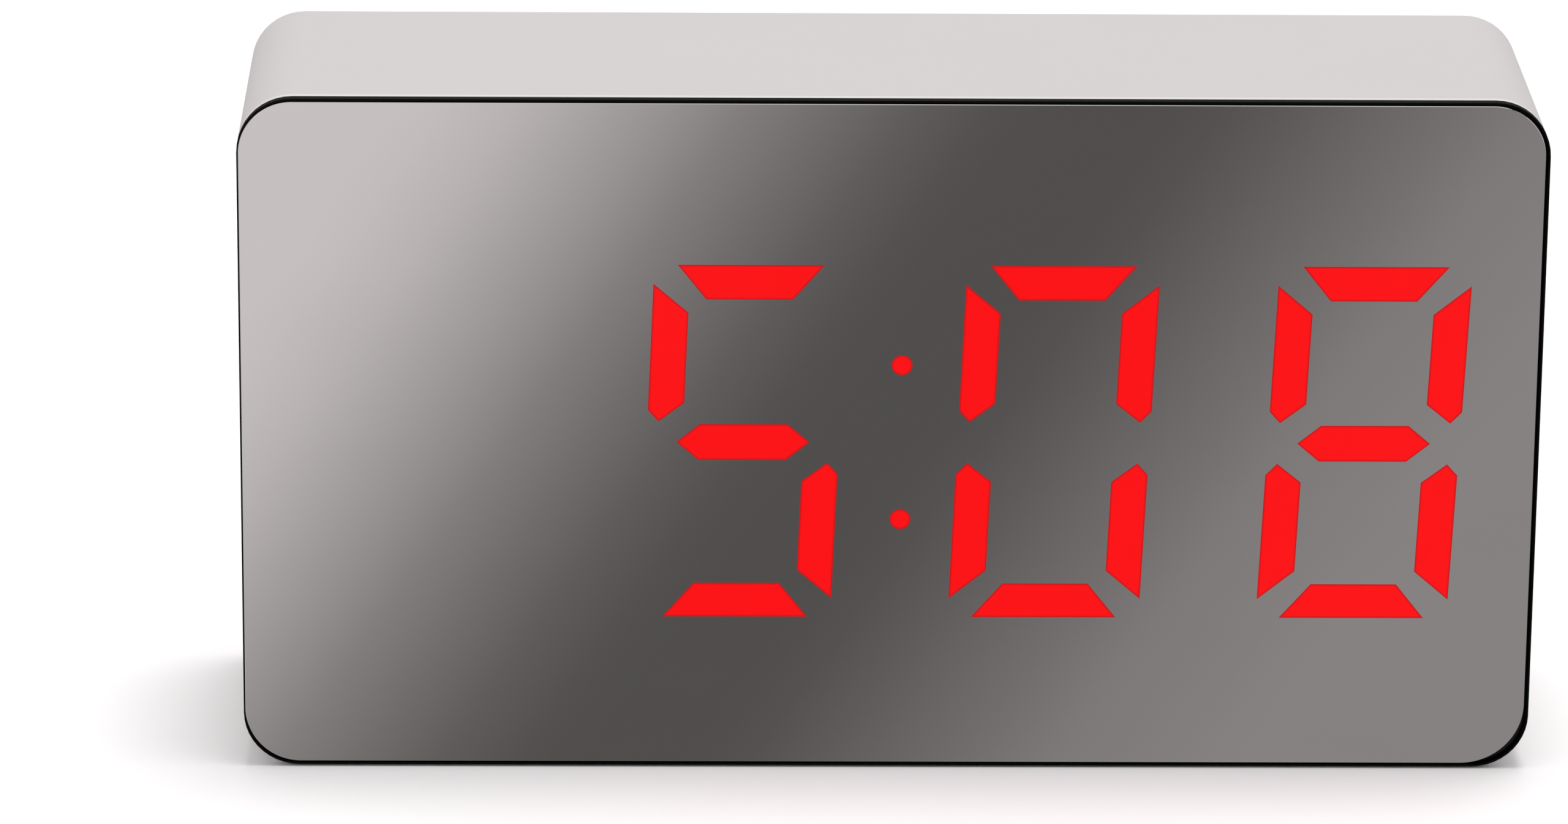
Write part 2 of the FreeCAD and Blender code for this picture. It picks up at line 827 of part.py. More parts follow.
def cut_rear_openings(body):
    """Screw wells, button holes, the inlet and the sound holes in the rear wall."""
    layer(
        body, "rear_screw_holes", "boss_meeting", "screw_seat",
        discs_at(CASE_SCREW_CENTRES, "case_screw_radius + screw_clearance"), pocket,
    )
    layer(
        body, "rear_screw_wells", "screw_seat", "case_depth",
        discs_at(CASE_SCREW_CENTRES, "case_screw_head + screw_clearance"), pocket,
    )
    layer(
        body, "rear_button_pilots", "button_board_rear", "button_board_rear + button_screw_length",
        discs_at(BUTTON_SCREW_CENTRES, "button_screw_radius + pilot_gap"), pocket,
    )
    centres = [(button_across(k), "button_up") for k in range(len(BUTTONS))]
    layer(
        body, "rear_button_holes", "rear_inside", "case_depth",
        discs_at(centres, "button_radius + button_gap"), pocket,
    )

    def inlet(sketch):
        rounded_rectangle(
            sketch, "usb_across - usb_width / 2 - usb_opening_gap",
            "usb_across + usb_width / 2 + usb_opening_gap",
            "button_up - usb_height / 2 - usb_opening_gap",
            "button_up + usb_height / 2 + usb_opening_gap", "usb_opening_gap * 2",
        )
    layer(body, "rear_inlet", "rear_inside", "case_depth", inlet, pocket)
    centres = [("buzzer_across", "buzzer_up")]
    for turn in range(0, 360, 60):
        across = "buzzer_across + sound_ring_radius * %.6f" % math.cos(math.radians(turn))
        up = "buzzer_up + sound_ring_radius * %.6f" % math.sin(math.radians(turn))
        centres.append((across, up))
    layer(
        body, "rear_sound_holes", "rear_inside", "case_depth",
        discs_at(centres, "sound_hole_radius"), pocket,
    )


def pad_centres():
    reach = "half_width - pad_side_inset"
    centres = []
    for depth in ("pad_front_depth", "pad_rear_depth"):
        for sign in (-1, 1):
            centres.append(("%d * (%s)" % (sign, reach), at_depth(depth)))
    return centres


def cut_pad_beds(body):
    """Round beds in the underside, so that each pad stands only a little proud."""
    sketch = sketch_on(body, "XY_Plane", "pad_beds", "case_low")
    discs_at(pad_centres(), "pad_radius + fit_gap")(sketch)
    feature = body.newObject("PartDesign::Pocket", "pad_beds_pocket")
    feature.Profile = sketch
    feature.Reversed = True
    bind(feature, "Length", "pad_thickness - pad_proud")


def make_anti_slip_pads():
    body = new_body("anti_slip_pads")
    sketch = sketch_on(body, "XY_Plane", "pads_plan", "0")
    discs_at(pad_centres(), "pad_radius")(sketch)
    feature = body.newObject("PartDesign::Pad", "pads_pad")
    feature.Profile = sketch
    bind(feature, "Length", "pad_thickness")


def make_battery_door():
    """Door plate with two hook tabs at its foot, a latch nose on top and two inner ribs."""
    body = new_body("battery_door")

    sides = ("-door_half", "door_half", "door_low", "door_high")

    def plate(sketch):
        rounded_rectangle(sketch, *sides, "door_corner")
    skin = layer(body, "door_plate", "door_inside", "case_depth", plate)
    dress(body, "Fillet", "door_edge", skin, lies_at("case_depth"), "door_gap")

    def tab_roots(sketch):
        tabs(sketch, "door_low", "door_low + door_ledge * 1.5")

    def tab_plates(sketch):
        tabs(sketch, "door_low - tab_reach", "door_low + door_ledge * 1.5")

    def tabs(sketch, low, high):
        for sign in (-1, 1):
            middle = "%d * tab_spacing / 2" % sign
            rectangle(sketch, middle + " - tab_width / 2", middle + " + tab_width / 2", low, high)
    layer(body, "door_tab_roots", "tab_rear", "door_inside", tab_roots)
    layer(body, "door_tabs", "tab_front", "tab_rear", tab_plates)

    def latch(sketch):
        rectangle(
            sketch, "-latch_width / 2", "latch_width / 2",
            "door_high - door_ledge", "door_high + door_gap / 2",
        )
    layer(body, "door_latch", "door_inside", "door_inside + door_thickness / 4", latch)

    def grip(sketch):
        for number in range(GRIP_COUNT):
            low = "door_high - grip_pitch * %d" % (number + 2)
            high = low + " + grip_pitch / 2"
            rectangle(sketch, "-latch_width / 2", "latch_width / 2", low, high)
    layer(body, "door_grip", "case_depth - grip_depth", "case_depth", grip, pocket)


# ---- battery ----

def make_cell(number):
    """A AAA cell turned about X; every other one points the other way."""
    body = new_body("battery_cell_%d" % (number + 1))
    sketch = sketch_on(body, "XZ_Plane", "cell_%d_half" % number, "0")
    shoulder = "cell_length - cell_nub_length"
    bare = "cell_radius - cell_jacket"
    corners = [
        ("0", "0"),
        ("0", bare),
        ("cell_rim", bare),
        ("cell_rim", "cell_radius"),
        (shoulder + " - cell_rim", "cell_radius"),
        (shoulder + " - cell_rim", bare),
        (shoulder, bare),
        (shoulder, "cell_nub_radius"),
        ("cell_length", "cell_nub_radius"),
        ("cell_length", "0"),
    ]
    polygon(sketch, corners)
    turned = body.newObject("PartDesign::Revolution", "cell_%d_turned" % number)
    turned.Profile = sketch
    turned.ReferenceAxis = (sketch, ["H_Axis"])
    turned.Angle = 360
    put(body, number % 2 == 0, "bay_half - contact_thickness - cell_length", cell_up(number))


def put(body, points_right, start, up):
    """Lay a body made along +X in the bay at height up: start is its first end's X when it
    points to +X, and the same distance from the middle the other way when it is turned."""
    if not points_right:
        body.Placement = FreeCAD.Placement(Vector(), FreeCAD.Rotation(Vector(0, 1, 0), 180))
    bind(body, "Placement.Base.x", start if points_right else "-(%s)" % start)
    bind(body, "Placement.Base.y", at_depth("cell_depth"))
    bind(body, "Placement.Base.z", up)


def make_contact_spring(number):
    """Conical spring of round wire, wide on its plate and narrow on the cell."""
    body = new_body("contact_spring_%d" % (number + 1))
    sketch = sketch_on(body, "XZ_Plane", "spring_%d_wire" % number, "0")
    circle(sketch, "spring_wire_radius", "spring_base_radius", "spring_wire_radius")
    coil = body.newObject("PartDesign::AdditiveHelix", "spring_%d_coil" % number)
    coil.Profile = sketch
    coil.ReferenceAxis = (sketch, ["H_Axis"])
    coil.Mode = 0
    bind(coil, "Pitch", "spring_pitch")
    bind(coil, "Height", "spring_height - 2 * spring_wire_radius")
    bind(coil, "Angle", "-spring_lean")
    put(body, number % 2 == 0, "-bay_half + contact_thickness", cell_up(number))


def make_contact_plates():
    """Two end contacts with solder tails, and two plates that each link two cells."""
    left = ("-bay_half", "-bay_half + contact_thickness")
    right = ("bay_half - contact_thickness", "bay_half")
    spans = {
        "negative_contact": (left, cell_up(0), cell_up(0), True),
        "left_link_contact": (left, cell_up(1), cell_up(2), False),
        "right_link_contact": (right, cell_up(0), cell_up(1), False),
        "positive_contact": (right, cell_up(2), cell_up(2), True),
    }
    for label, ((x0, x1), low, high, tail) in spans.items():
        body = new_body(label)

        def plate(sketch):
            rectangle(sketch, x0, x1, "%s - contact_half" % low, "%s + contact_half" % high)
        near, far = "cell_depth - contact_half", "cell_depth + contact_half"
        layer(body, label + "_plate", near, far, plate)
        if tail:
            reach = "(tail_half - fit_gap)"

            def solder_tail(sketch):
                rectangle(sketch, x0, x1, "%s - %s" % (low, reach), "%s + %s" % (low, reach))
            layer(
                body, label + "_tail", "bay_front - tail_proud",
                "cell_depth - contact_half", solder_tail,
            )


# ---- keys and power ----

def button_across(number):
    return "button_pitch * %d" % (number - len(BUTTONS) // 2)


def make_button(name, number):
    """Cap with an inner flange, and the switch plunger that it presses."""
    across = button_across(number)
    cap = new_body(name + "_button")
    centres = [(across, "button_up")]
    flange = discs_at(centres, "button_radius + button_lip")
    stem = discs_at(centres, "button_stem_radius")
    barrel = discs_at(centres, "button_radius")
    layer(cap, name + "_flange", "flange_front", "flange_rear", flange)
    layer(cap, name + "_stem", "plunger_rear", "flange_front", stem)
    crown = layer(cap, name + "_cap", "flange_rear", "button_end", barrel)
    dress(cap, "Fillet", name + "_crown", crown, lies_at("button_end"), "button_rounding")
    plunger = new_body(name + "_plunger")
    layer(
        plunger, name + "_plunger_plan", "plunger_front", "plunger_rear",
        discs_at(centres, "plunger_radius"),
    )


def make_button_board():
    body = blocks(
        "button_board", "button_board_depth", "button_board_rear",
        [("button_board_left", "button_board_right", "button_board_low", "button_board_high")],
    )
    layer(
        body, "button_board_holes", "button_board_depth", "button_board_rear",
        discs_at(BUTTON_SCREW_CENTRES, "button_screw_radius + screw_clearance"), pocket,
    )
    centres = [(button_across(k), "button_up") for k in range(len(BUTTONS))]
    switches = blocks(
        "switch_bodies", "button_board_rear", "switch_rear",
        [box_about(across, up, "switch_side", "switch_side") for across, up in centres],
    )
    layer(
        switches, "switch_wells", "plunger_well", "switch_rear",
        discs_at(centres, "plunger_radius + fit_gap"), pocket,
    )


def usb_profile(inset):
    """A wide rectangle with its two lower corners cut off, as a micro-USB mouth has."""
    half = "usb_width / 2 - (%s)" % inset
    low = "button_up - usb_height / 2 + (%s)" % inset
    high = "button_up + usb_height / 2 - (%s)" % inset
    step = "usb_height / 3"
    return [
        ("usb_across - (%s) + %s" % (half, step), low),
        ("usb_across + (%s) - %s" % (half, step), low),
        ("usb_across + (%s)" % half, "%s + %s" % (low, step)),
        ("usb_across + (%s)" % half, high),
        ("usb_across - (%s)" % half, high),
        ("usb_across - (%s)" % half, "%s + %s" % (low, step)),
    ]


def make_usb_socket():
    shell = new_body("usb_socket_shell")

    def walls(sketch):
        polygon(sketch, usb_profile("0"))
        polygon(sketch, usb_profile("usb_wall"))
    layer(shell, "usb_walls", "button_board_rear", "usb_rear", walls)
    core = new_body("usb_socket_core")
    layer(
        core, "usb_base", "button_board_rear", "button_board_rear + usb_height",
        lambda sketch: polygon(sketch, usb_profile("usb_wall")),
    )

    def tongue(sketch):
        rectangle(
            sketch, "usb_across - usb_width / 4", "usb_across + usb_width / 4",
            "button_up + usb_wall / 2", "button_up + usb_wall * 2.5",
        )
    layer(core, "usb_tongue", "button_board_rear + usb_height", "usb_rear - usb_recess", tongue)


# ---- display board parts ----

def make_display_board():
    """Board with two ears that carry its screws and clear the case bosses."""
    body = new_body("display_board")
    ear = "board_ear_half"
    corners = [
        ("board_left", "board_low"), ("-" + ear, "board_low"), ("-" + ear, "ear_low"),
        (ear, "ear_low"), (ear, "board_low"), ("board_right", "board_low"),
        ("board_right", "board_high"), (ear, "board_high"), (ear, "ear_high"),
        ("-" + ear, "ear_high"), ("-" + ear, "board_high"), ("board_left", "board_high"),
    ]
    layer(body, "board_plan", "board_front", "board_back", lambda s: polygon(s, corners))
    layer(
        body, "board_holes", "board_front", "board_back",
        discs_at(BOARD_SCREW_CENTRES, "board_screw_radius + fit_gap"), pocket,
    )


def make_segment_leds():
    """Two chips behind every segment and one behind each colon dot."""
    body = new_body("segment_leds")
    near, far = "board_front - led_thickness", "board_front"
    sketch = face_sketch(body, "digit_leds", near)
    for box in led_boxes(0):
        rectangle(sketch, *box)
    digit = pad(body, sketch, near, far)
    repeat_across(body, digit, sketch, "digit_pitch", len(LIT))

    def dots(sketch):
        for sign in (1, -1):
            up = "digit_middle + %d * colon_rise" % sign
            rectangle(sketch, *box_about("colon_across", up, "led_width", "led_width"))
    layer(body, "colon_leds", near, far, dots)


# Each chip with the number of leads along each of its two sides.
CHIPS = {"clock_chip": 14, "driver_chip": 8}
RESISTOR_COUNT = 8


def make_chips():
    """Flat chips that stand on two rows of leads."""
    leads = new_body("chip_leads")
    for name, count in CHIPS.items():
        up, top = name + "_up", "board_back + %s_height" % name
        plan = box_about("chip_across", up, name + "_length", name + "_width")
        chip = blocks(name, "board_back + lead_thickness / 2", top, [plan])
        dress(chip, "Chamfer", name + "_edges", chip.Tip, lies_at(top), "chip_edge")
        start = "chip_across - lead_pitch * %s" % ((count - 1) / 2)
        sketch = face_sketch(leads, name + "_leads", "board_back")
        for sign in (-1, 1):
            middle = "%s + %d * (%s_width + lead_length) / 2" % (up, sign, name)
            rectangle(sketch, *box_about(start, middle, "lead_width", "lead_length"))
        row = pad(leads, sketch, "board_back", "board_back + lead_thickness")
        repeat_across(leads, row, sketch, "lead_pitch", count)


def rounded_can(label, near, far, draw, rounding):
    """A can whose far edge is rounded."""
    body = new_body(label)
    top = layer(body, label + "_can", near, far, draw)
    dress(body, "Fillet", label + "_round", top, lies_at(far), rounding)
    return body


def make_crystal():
    """Oval quartz crystal can, level with the clock chip."""
    left, right, low, high = box_about(
        "crystal_across", "clock_chip_up", "crystal_length", "crystal_width",
    )

    def can(sketch):
        rounded_rectangle(sketch, left, right, low, high, "crystal_width * 0.49")
    rounded_can("timing_crystal", "board_back", "board_back + crystal_height", can, "crystal_rounding")


def make_capacitor():
    """Round electrolytic can on a square base, with the crimped neck above the base."""
    place = [("capacitor_across", "capacitor_up")]
    neck = "board_back + 4 * capacitor_base"
    body = rounded_can(
        "filter_capacitor", neck, "board_back + capacitor_height",
        discs_at(place, "capacitor_radius"), "capacitor_base * 0.7",
    )
    layer(
        body, "capacitor_foot", "board_back + capacitor_base", neck,
        discs_at(place, "capacitor_radius - capacitor_neck_depth"),
    )

    def base(sketch):
        side = "2.1 * capacitor_radius"
        rectangle(sketch, *box_about("capacitor_across", "capacitor_up", side, side))
    layer(body, "capacitor_base_plate", "board_back", "board_back + capacitor_base", base)


def make_buzzer():
    """Round buzzer can with a sound hole in its top."""
    place = [("buzzer_across", "buzzer_up")]
    top = "board_back + buzzer_height"
    can = discs_at(place, "buzzer_radius")
    body = rounded_can("buzzer", "board_back", top, can, "buzzer_radius / 12")
    mouth = discs_at(place, "buzzer_radius / 5")
    layer(body, "buzzer_mouth", "board_back + buzzer_height * 0.75", top, mouth, pocket)


def make_resistors():
    """Two rows of chip resistors, either side of the driver chip."""
    body = new_body("chip_resistors")
    sketch = face_sketch(body, "resistor_pair", "board_back")
    for sign in (-1, 1):
        up = "driver_chip_up + %d * (driver_chip_width + 2 * lead_length + resistor_length)" % sign
        rectangle(sketch, *box_about("resistor_across", up, "resistor_width", "resistor_length"))
    row = pad(body, sketch, "board_back", "board_back + resistor_height")
    repeat_across(body, row, sketch, "resistor_pitch", RESISTOR_COUNT)


# ---- wires held inside the case ----

def arc_path(points, radius):
    """Straight runs joined by tangent arcs of one radius."""
    edges = []
    here = points[0]
    for before, corner, after in zip(points, points[1:], points[2:]):
        inward = (before - corner).normalize()
        outward = (after - corner).normalize()
        half_turn = (math.pi - inward.getAngle(outward)) / 2
        setback = radius * math.tan(half_turn)
        start = corner + inward * setback
        end = corner + outward * setback
        bisector = (inward + outward).normalize()
        middle = corner + bisector * (radius / math.cos(half_turn) - radius)
        edges.append(Part.LineSegment(here, start).toShape())
        edges.append(Part.Arc(start, middle, end).toShape())
        here = end
    edges.append(Part.LineSegment(here, points[-1]).toShape())
    return Part.Wire(edges)


def sweep(label, path, profile):
    """A node swept along a path from a closed profile at its start."""
    feature = document.addObject("Part::Feature", label)
    feature.Label = label
    feature.Shape = path.makePipeShell([profile], True, True)
    return feature


def spot(across, depth, up):
    return Vector(amount(across), amount(at_depth(depth)), amount(up))


def make_wires():
    """Each contact's wire drops to the board, runs along it and ends in its solder pad."""
    routes = {
        "battery_wire_black": ("-bay_half + contact_thickness", cell_up(0), "black_pad_shift"),
        "battery_wire_red": ("bay_half - contact_thickness", cell_up(2), "red_pad_shift"),
    }
    for label, (across, up, shift) in routes.items():
        inward = "wire_radius" if label.endswith("black") else "-wire_radius"
        start = "%s + %s" % (across, inward)
        points = [
            spot(start, "bay_front - tail_proud / 4", up),
            spot(start, "wire_level", up),
            spot("%s + %s" % (start, shift), "wire_level", "%s - wire_drop" % up),
            spot("%s + %s" % (start, shift), "board_back", "%s - wire_drop" % up),
        ]
        ring = Part.Circle(points[0], Vector(0, 1, 0), amount("wire_radius")).toShape()
        sweep(label, arc_path(points, amount("wire_radius * 3")), Part.Wire([ring]))


def make_ribbon_cable():
    """Flat cable from the button board's back to the display board, with slack to open the case."""
    half = amount("ribbon_width / 2")
    thin = amount("ribbon_thickness / 2")
    route = [
        ("button_board_depth", "button_board_high - ribbon_inset"),
        ("button_board_depth - ribbon_slack", "button_board_high - ribbon_inset"),
        ("board_back + ribbon_slack", "button_board_high - ribbon_inset - ribbon_drop"),
        ("board_back", "button_board_high - ribbon_inset - ribbon_drop"),
    ]
    points = [spot("0", depth, up) for depth, up in route]
    corners = [(-half, -thin), (half, -thin), (half, thin), (-half, thin), (-half, -thin)]
    ring = [points[0] + Vector(across, 0, up) for across, up in corners]
    sweep("ribbon_cable", arc_path(points, amount("ribbon_thickness * 2")), Part.makePolygon(ring))


# ---- the whole clock ----

def make_clock():
    make_mirror_panel()
    make_panel_tape()
    make_front_frame()
    make_rear_shell()
    make_battery_door()
    make_anti_slip_pads()
    screws("case_screws", CASE_SCREW_CENTRES, "screw_seat", "case_screw", True)
    pierced_block("display_mask", "face_depth", "mask_back", "0.6")
    pierced_block("reflector_block", "mask_back", "board_front", "0.6")
    diffusers("lit_segments", LIT)
    dark = ["".join(s for s in ALL_SEGMENTS if s not in glowing) for glowing in LIT]
    diffusers("dark_segments", dark)
    colon = new_body("colon_dots")
    layer(colon, "colon_plan", "face_depth", "face_depth + diffuser_thickness", draw_colon)
    make_segment_leds()
    make_display_board()
    screws("board_screws", BOARD_SCREW_CENTRES, "board_back", "board_screw", True)
    make_chips()
    make_crystal()
    make_capacitor()
    make_buzzer()
    make_resistors()
    make_button_board()
    screws("button_board_screws", BUTTON_SCREW_CENTRES, "button_board_depth", "button_screw", False)
    make_usb_socket()
    for number, name in enumerate(BUTTONS):
        make_button(name, number)
    for number in range(CELL_COUNT):
        make_cell(number)
        make_contact_spring(number)
    make_contact_plates()
    make_wires()
    make_ribbon_cable()


def check_clock():
    """Stop on any failed object, any empty or broken shape and any cut that took nothing."""
    for item in document.Objects:
        if "Invalid" in item.State or "Error" in item.State:
            raise RuntimeError("%s failed: %s" % (item.Name, item.State))
        if item.TypeId == "PartDesign::Pocket":
            if item.Shape.Volume > item.BaseFeature.Shape.Volume - 1e-6:
                raise RuntimeError(item.Name + " cuts nothing")
    for node in nodes():
        if node.Shape.isNull() or not node.Shape.isValid():
            raise RuntimeError(node.Label + " has no valid shape")


def nodes():
    kinds = ("PartDesign::Body", "Part::Feature")
    return [item for item in document.Objects if item.TypeId in kinds]


make_clock()
document.recompute()
check_clock()
os.makedirs("parts", exist_ok=True)
for node in nodes():
    node.Shape.exportStep("parts/%s.step" % node.Label)
    print("%-22s %3d solids %9.1f mm3" % (node.Label, len(node.Shape.Solids), node.Shape.Volume))
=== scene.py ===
import json
import math

import bpy
import numpy as np
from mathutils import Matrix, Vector
from mathutils.geometry import delaunay_2d_cdt


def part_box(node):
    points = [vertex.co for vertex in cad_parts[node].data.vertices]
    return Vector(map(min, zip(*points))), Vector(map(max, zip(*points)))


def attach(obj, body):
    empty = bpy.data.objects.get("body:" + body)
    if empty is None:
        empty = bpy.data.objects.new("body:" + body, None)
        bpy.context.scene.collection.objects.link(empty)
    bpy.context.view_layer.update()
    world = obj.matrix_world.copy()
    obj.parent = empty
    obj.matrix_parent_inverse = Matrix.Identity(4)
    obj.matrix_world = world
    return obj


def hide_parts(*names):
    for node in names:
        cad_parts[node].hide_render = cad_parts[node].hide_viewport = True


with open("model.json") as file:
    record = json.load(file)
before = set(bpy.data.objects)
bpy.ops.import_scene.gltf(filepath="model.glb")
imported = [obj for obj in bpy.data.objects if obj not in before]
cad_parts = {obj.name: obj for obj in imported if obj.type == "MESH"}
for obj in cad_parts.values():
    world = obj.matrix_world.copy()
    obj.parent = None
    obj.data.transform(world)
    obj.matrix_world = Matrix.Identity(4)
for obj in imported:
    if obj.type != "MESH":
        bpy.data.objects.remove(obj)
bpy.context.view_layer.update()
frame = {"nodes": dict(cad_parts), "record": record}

# The looks of a mirror-faced desk clock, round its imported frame: metres, +Z up, the face looks along -Y.

faceLow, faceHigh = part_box("mirror_panel")
shellLow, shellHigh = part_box("rear_shell")
mm = 0.001
grid = 0.001 * mm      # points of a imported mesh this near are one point
foremostSteps = 5      # and this many of those steps from the front still counts as the front
straightShare = 0.001
sameSpot = 1e-9        # metres, where flat shapes are cut


def tone(red, green, blue):
    # a screen colour from 0 to 255 made linear, by the sRGB curve
    share = np.array([red, green, blue]) / 255
    linear = np.where(share <= 0.04045, share / 12.92, ((share + 0.055) / 1.055) ** 2.4)
    return (*[float(value) for value in linear], 1.0)


class Wire:
    # one output socket; arithmetic on it adds Math nodes to its own material
    def __init__(self, finish, socket):
        self.finish = finish
        self.socket = socket

    def math(self, operation, *values):
        return self.finish.node("Math", {"operation": operation}, values)

    def __add__(self, other):
        return self.math("ADD", self, other)

    def __sub__(self, other):
        return self.math("SUBTRACT", self, other)

    def __rsub__(self, other):
        return self.math("SUBTRACT", other, self)

    def __mul__(self, other):
        return self.math("MULTIPLY", self, other)

    def __truediv__(self, other):
        return self.math("DIVIDE", self, other)

    def __pow__(self, other):
        return self.math("POWER", self, other)

    def __abs__(self):
        return self.math("ABSOLUTE", self)

    def over(self, other):  # 1 where this is above the other
        return self.math("GREATER_THAN", self, other)

    def wrap(self, step):  # what is left over a whole number of steps
        return self.math("FLOORED_MODULO", self, step)

    def spread(self, span):  # the span's first number, plus its second times this
        return span[0] + self * span[1]

    def clamped(self):  # held between 0 and 1
        return self.math("MINIMUM", self.math("MAXIMUM", self, 0), 1)

    __radd__ = __add__
    __rmul__ = __mul__


class Finish:
    # one procedural material: node() adds any node, settle() feeds the surface shader
    def __init__(self, name):
        self.material = bpy.data.materials.new(name)
        self.material.use_nodes = True
        self.tree = self.material.node_tree
        self.tree.nodes.clear()
        self.shader = self.tree.nodes.new("ShaderNodeBsdfPrincipled")
        self.surface = self.tree.nodes.new("ShaderNodeOutputMaterial").inputs["Surface"]
        self.tree.links.new(self.shader.outputs["BSDF"], self.surface)

    def node(self, kind, settings=None, inputs=(), output=0):
        made = self.tree.nodes.new("ShaderNode" + kind)
        for key, value in (settings or {}).items():
            if key == "stops":
                self.setStops(made.color_ramp, value)
            else:
                setattr(made, key, value)
        for key, value in inputs.items() if isinstance(inputs, dict) else enumerate(inputs):
            self.feed(made.inputs[key], value)
        return Wire(self, made.outputs[output])

    def setStops(self, ramp, stops):
        while len(ramp.elements) < len(stops):
            ramp.elements.new(0.5)
        for element, (position, colour) in zip(ramp.elements, stops):
            element.position = position
            element.color = colour

    def feed(self, socket, value):
        if isinstance(value, Wire):
            self.tree.links.new(value.socket, socket)
        else:
            socket.default_value = value

    def place(self):  # the piece's own coordinates, in metres
        return self.node("TexCoord", None, (), "Object")

    def axes(self, place):
        parts = self.node("SeparateXYZ", None, [place])
        return [Wire(self, socket) for socket in parts.socket.node.outputs]

    def stretch(self, place, factors):
        return self.node("VectorMath", {"operation": "MULTIPLY"}, [place, factors])

    def noise(self, place, size, detail=2.0):  # grains of about this size, from 0 to 1
        return self.node("TexNoise", None, {"Vector": place, "Scale": 1 / size, "Detail": detail})

    def tint(self, colour, strength):  # a colour or a colour wire times a number wire
        plain = colour if isinstance(colour, Wire) else colour[:3]
        return self.node("VectorMath", {"operation": "SCALE"}, {0: plain, "Scale": strength})

    def mix(self, share, first, second):
        settings = {"data_type": "RGBA", "clamp_factor": True}
        return self.node("Mix", settings, {0: share, 6: first, 7: second}, 2)

    def bump(self, height, depth):
        return self.node("Bump", None, {"Height": height, "Distance": depth, "Strength": 1.0})

    def glowOnly(self, colour, strength):  # plain light in place of the surface shader
        light = self.node("Emission", None, [colour, strength])
        self.tree.links.new(light.socket, self.surface)
        return self.material

    def settle(self, **values):  # baseColour=... feeds "Base Color", and so on
        names = {
            "baseColour": "Base Color", "roughness": "Roughness", "metallic": "Metallic",
            "normal": "Normal", "specular": "Specular IOR Level", "emission": "Emission Color",
            "glow": "Emission Strength",
        }
        for key, value in values.items():
            self.feed(self.shader.inputs[names[key]], value)
        return self.material


def pieceFrom(name, points, faces, body, materials, faceMaterials=None):
    mesh = bpy.data.meshes.new(name)
    mesh.from_pydata(np.asarray(points, float).tolist(), [], faces)
    for material in materials:
        mesh.materials.append(material)
    if faceMaterials is not None:
        mesh.polygons.foreach_set("material_index", np.asarray(faceMaterials, np.int32))
    mesh.validate()
    mesh.update()
    piece = bpy.data.objects.new(name, mesh)
    bpy.context.scene.collection.objects.link(piece)
    if body:
        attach(piece, body)
    return piece


def atDepth(loop, depth):  # a flat loop in X and Z stood up at one place along Y
    return np.stack([loop[:, 0], np.full(len(loop), depth), loop[:, 1]], 1)


def wallBetween(near, far):
    # quads from each side of an anticlockwise ring to the same side of the ring behind it
    return list(zip(near, far, far[1:] + far[:1], near[1:] + near[:1]))


def cutFlat(loops):
    # triangles that fill the first loop and leave the other loops open, by Delaunay's rule
    starts = np.cumsum([0] + [len(loop) for loop in loops])
    rings = [list(range(first, end)) for first, end in zip(starts, starts[1:])]
    corners = [Vector(point) for point in np.concatenate(loops)]
    flat, _, triangles, _, _, owners = delaunay_2d_cdt(corners, [], rings, 0, sameSpot)
    filled = [tuple(corner) for corner, owner in zip(triangles, owners) if owner == [0]]
    return np.array([[point.x, point.y] for point in flat]), rings, filled


def roundedOutline(low, high, radii, steps):
    # four quarter circles joined by straight sides, as an anticlockwise loop in X and Z from the top
    # right corner: centre plus radius times the cosine and sine of a turn from 0 to 90 degrees
    turn = np.radians(np.linspace(0, 90, steps))
    quarters = turn[None, :] + np.radians([0, 90, 180, 270])[:, None]
    size = np.asarray(radii, float)
    centreX = np.array([high[0], low[0], low[0], high[0]]) + size * [-1, 1, 1, -1]
    centreZ = np.array([high[1], high[1], low[1], low[1]]) + size * [-1, -1, 1, 1]
    across = centreX[:, None] + size[:, None] * np.cos(quarters)
    up = centreZ[:, None] + size[:, None] * np.sin(quarters)
    return np.stack([across.ravel(), up.ravel()], 1)


def drawnIn(loop, inset):
    # each side of an anticlockwise convex loop moved inwards; corners are where moved sides meet
    ahead = np.roll(loop, -1, 0) - loop
    ahead /= np.linalg.norm(ahead, axis=1)[:, None]
    inward = np.stack([-ahead[:, 1], ahead[:, 0]], 1)
    earlier = np.roll(inward, 1, 0)
    spread = 1 + (inward * earlier).sum(1)
    return loop + inset * (inward + earlier) / spread[:, None]


def frontLoops(node):
    # outlines of a CAD node's faces at its foremost plane: the triangle edges that only one of them has
    mesh = frame["nodes"][node].data
    points = np.empty(3 * len(mesh.vertices))
    mesh.vertices.foreach_get("co", points)
    points = points.reshape(-1, 3)
    mesh.calc_loop_triangles()
    corners = np.empty(3 * len(mesh.loop_triangles), np.int32)
    mesh.loop_triangles.foreach_get("vertices", corners)
    spots, merged = np.unique(np.round(points / grid), axis=0, return_inverse=True)
    triangles = merged.ravel()[corners].reshape(-1, 3)
    foremost = spots[:, 1] < spots[:, 1].min() + foremostSteps
    triangles = triangles[foremost[triangles].all(1)]
    starts = triangles.ravel()
    ends = np.roll(triangles, -1, 1).ravel()
    edges = set(zip(starts.tolist(), ends.tolist()))
    following = {start: end for start, end in edges if (end, start) not in edges}
    loops = []
    while following:
        chain = list(following.popitem())
        while chain[-1] != chain[0]:
            chain.append(following.pop(chain[-1]))
        flat = spots[chain[:-1]][:, [0, 2]] * grid
        loops.append(anticlockwise(withoutStraights(flat)))
    return sorted(loops, key=lambda loop: tuple(loop.mean(0)))


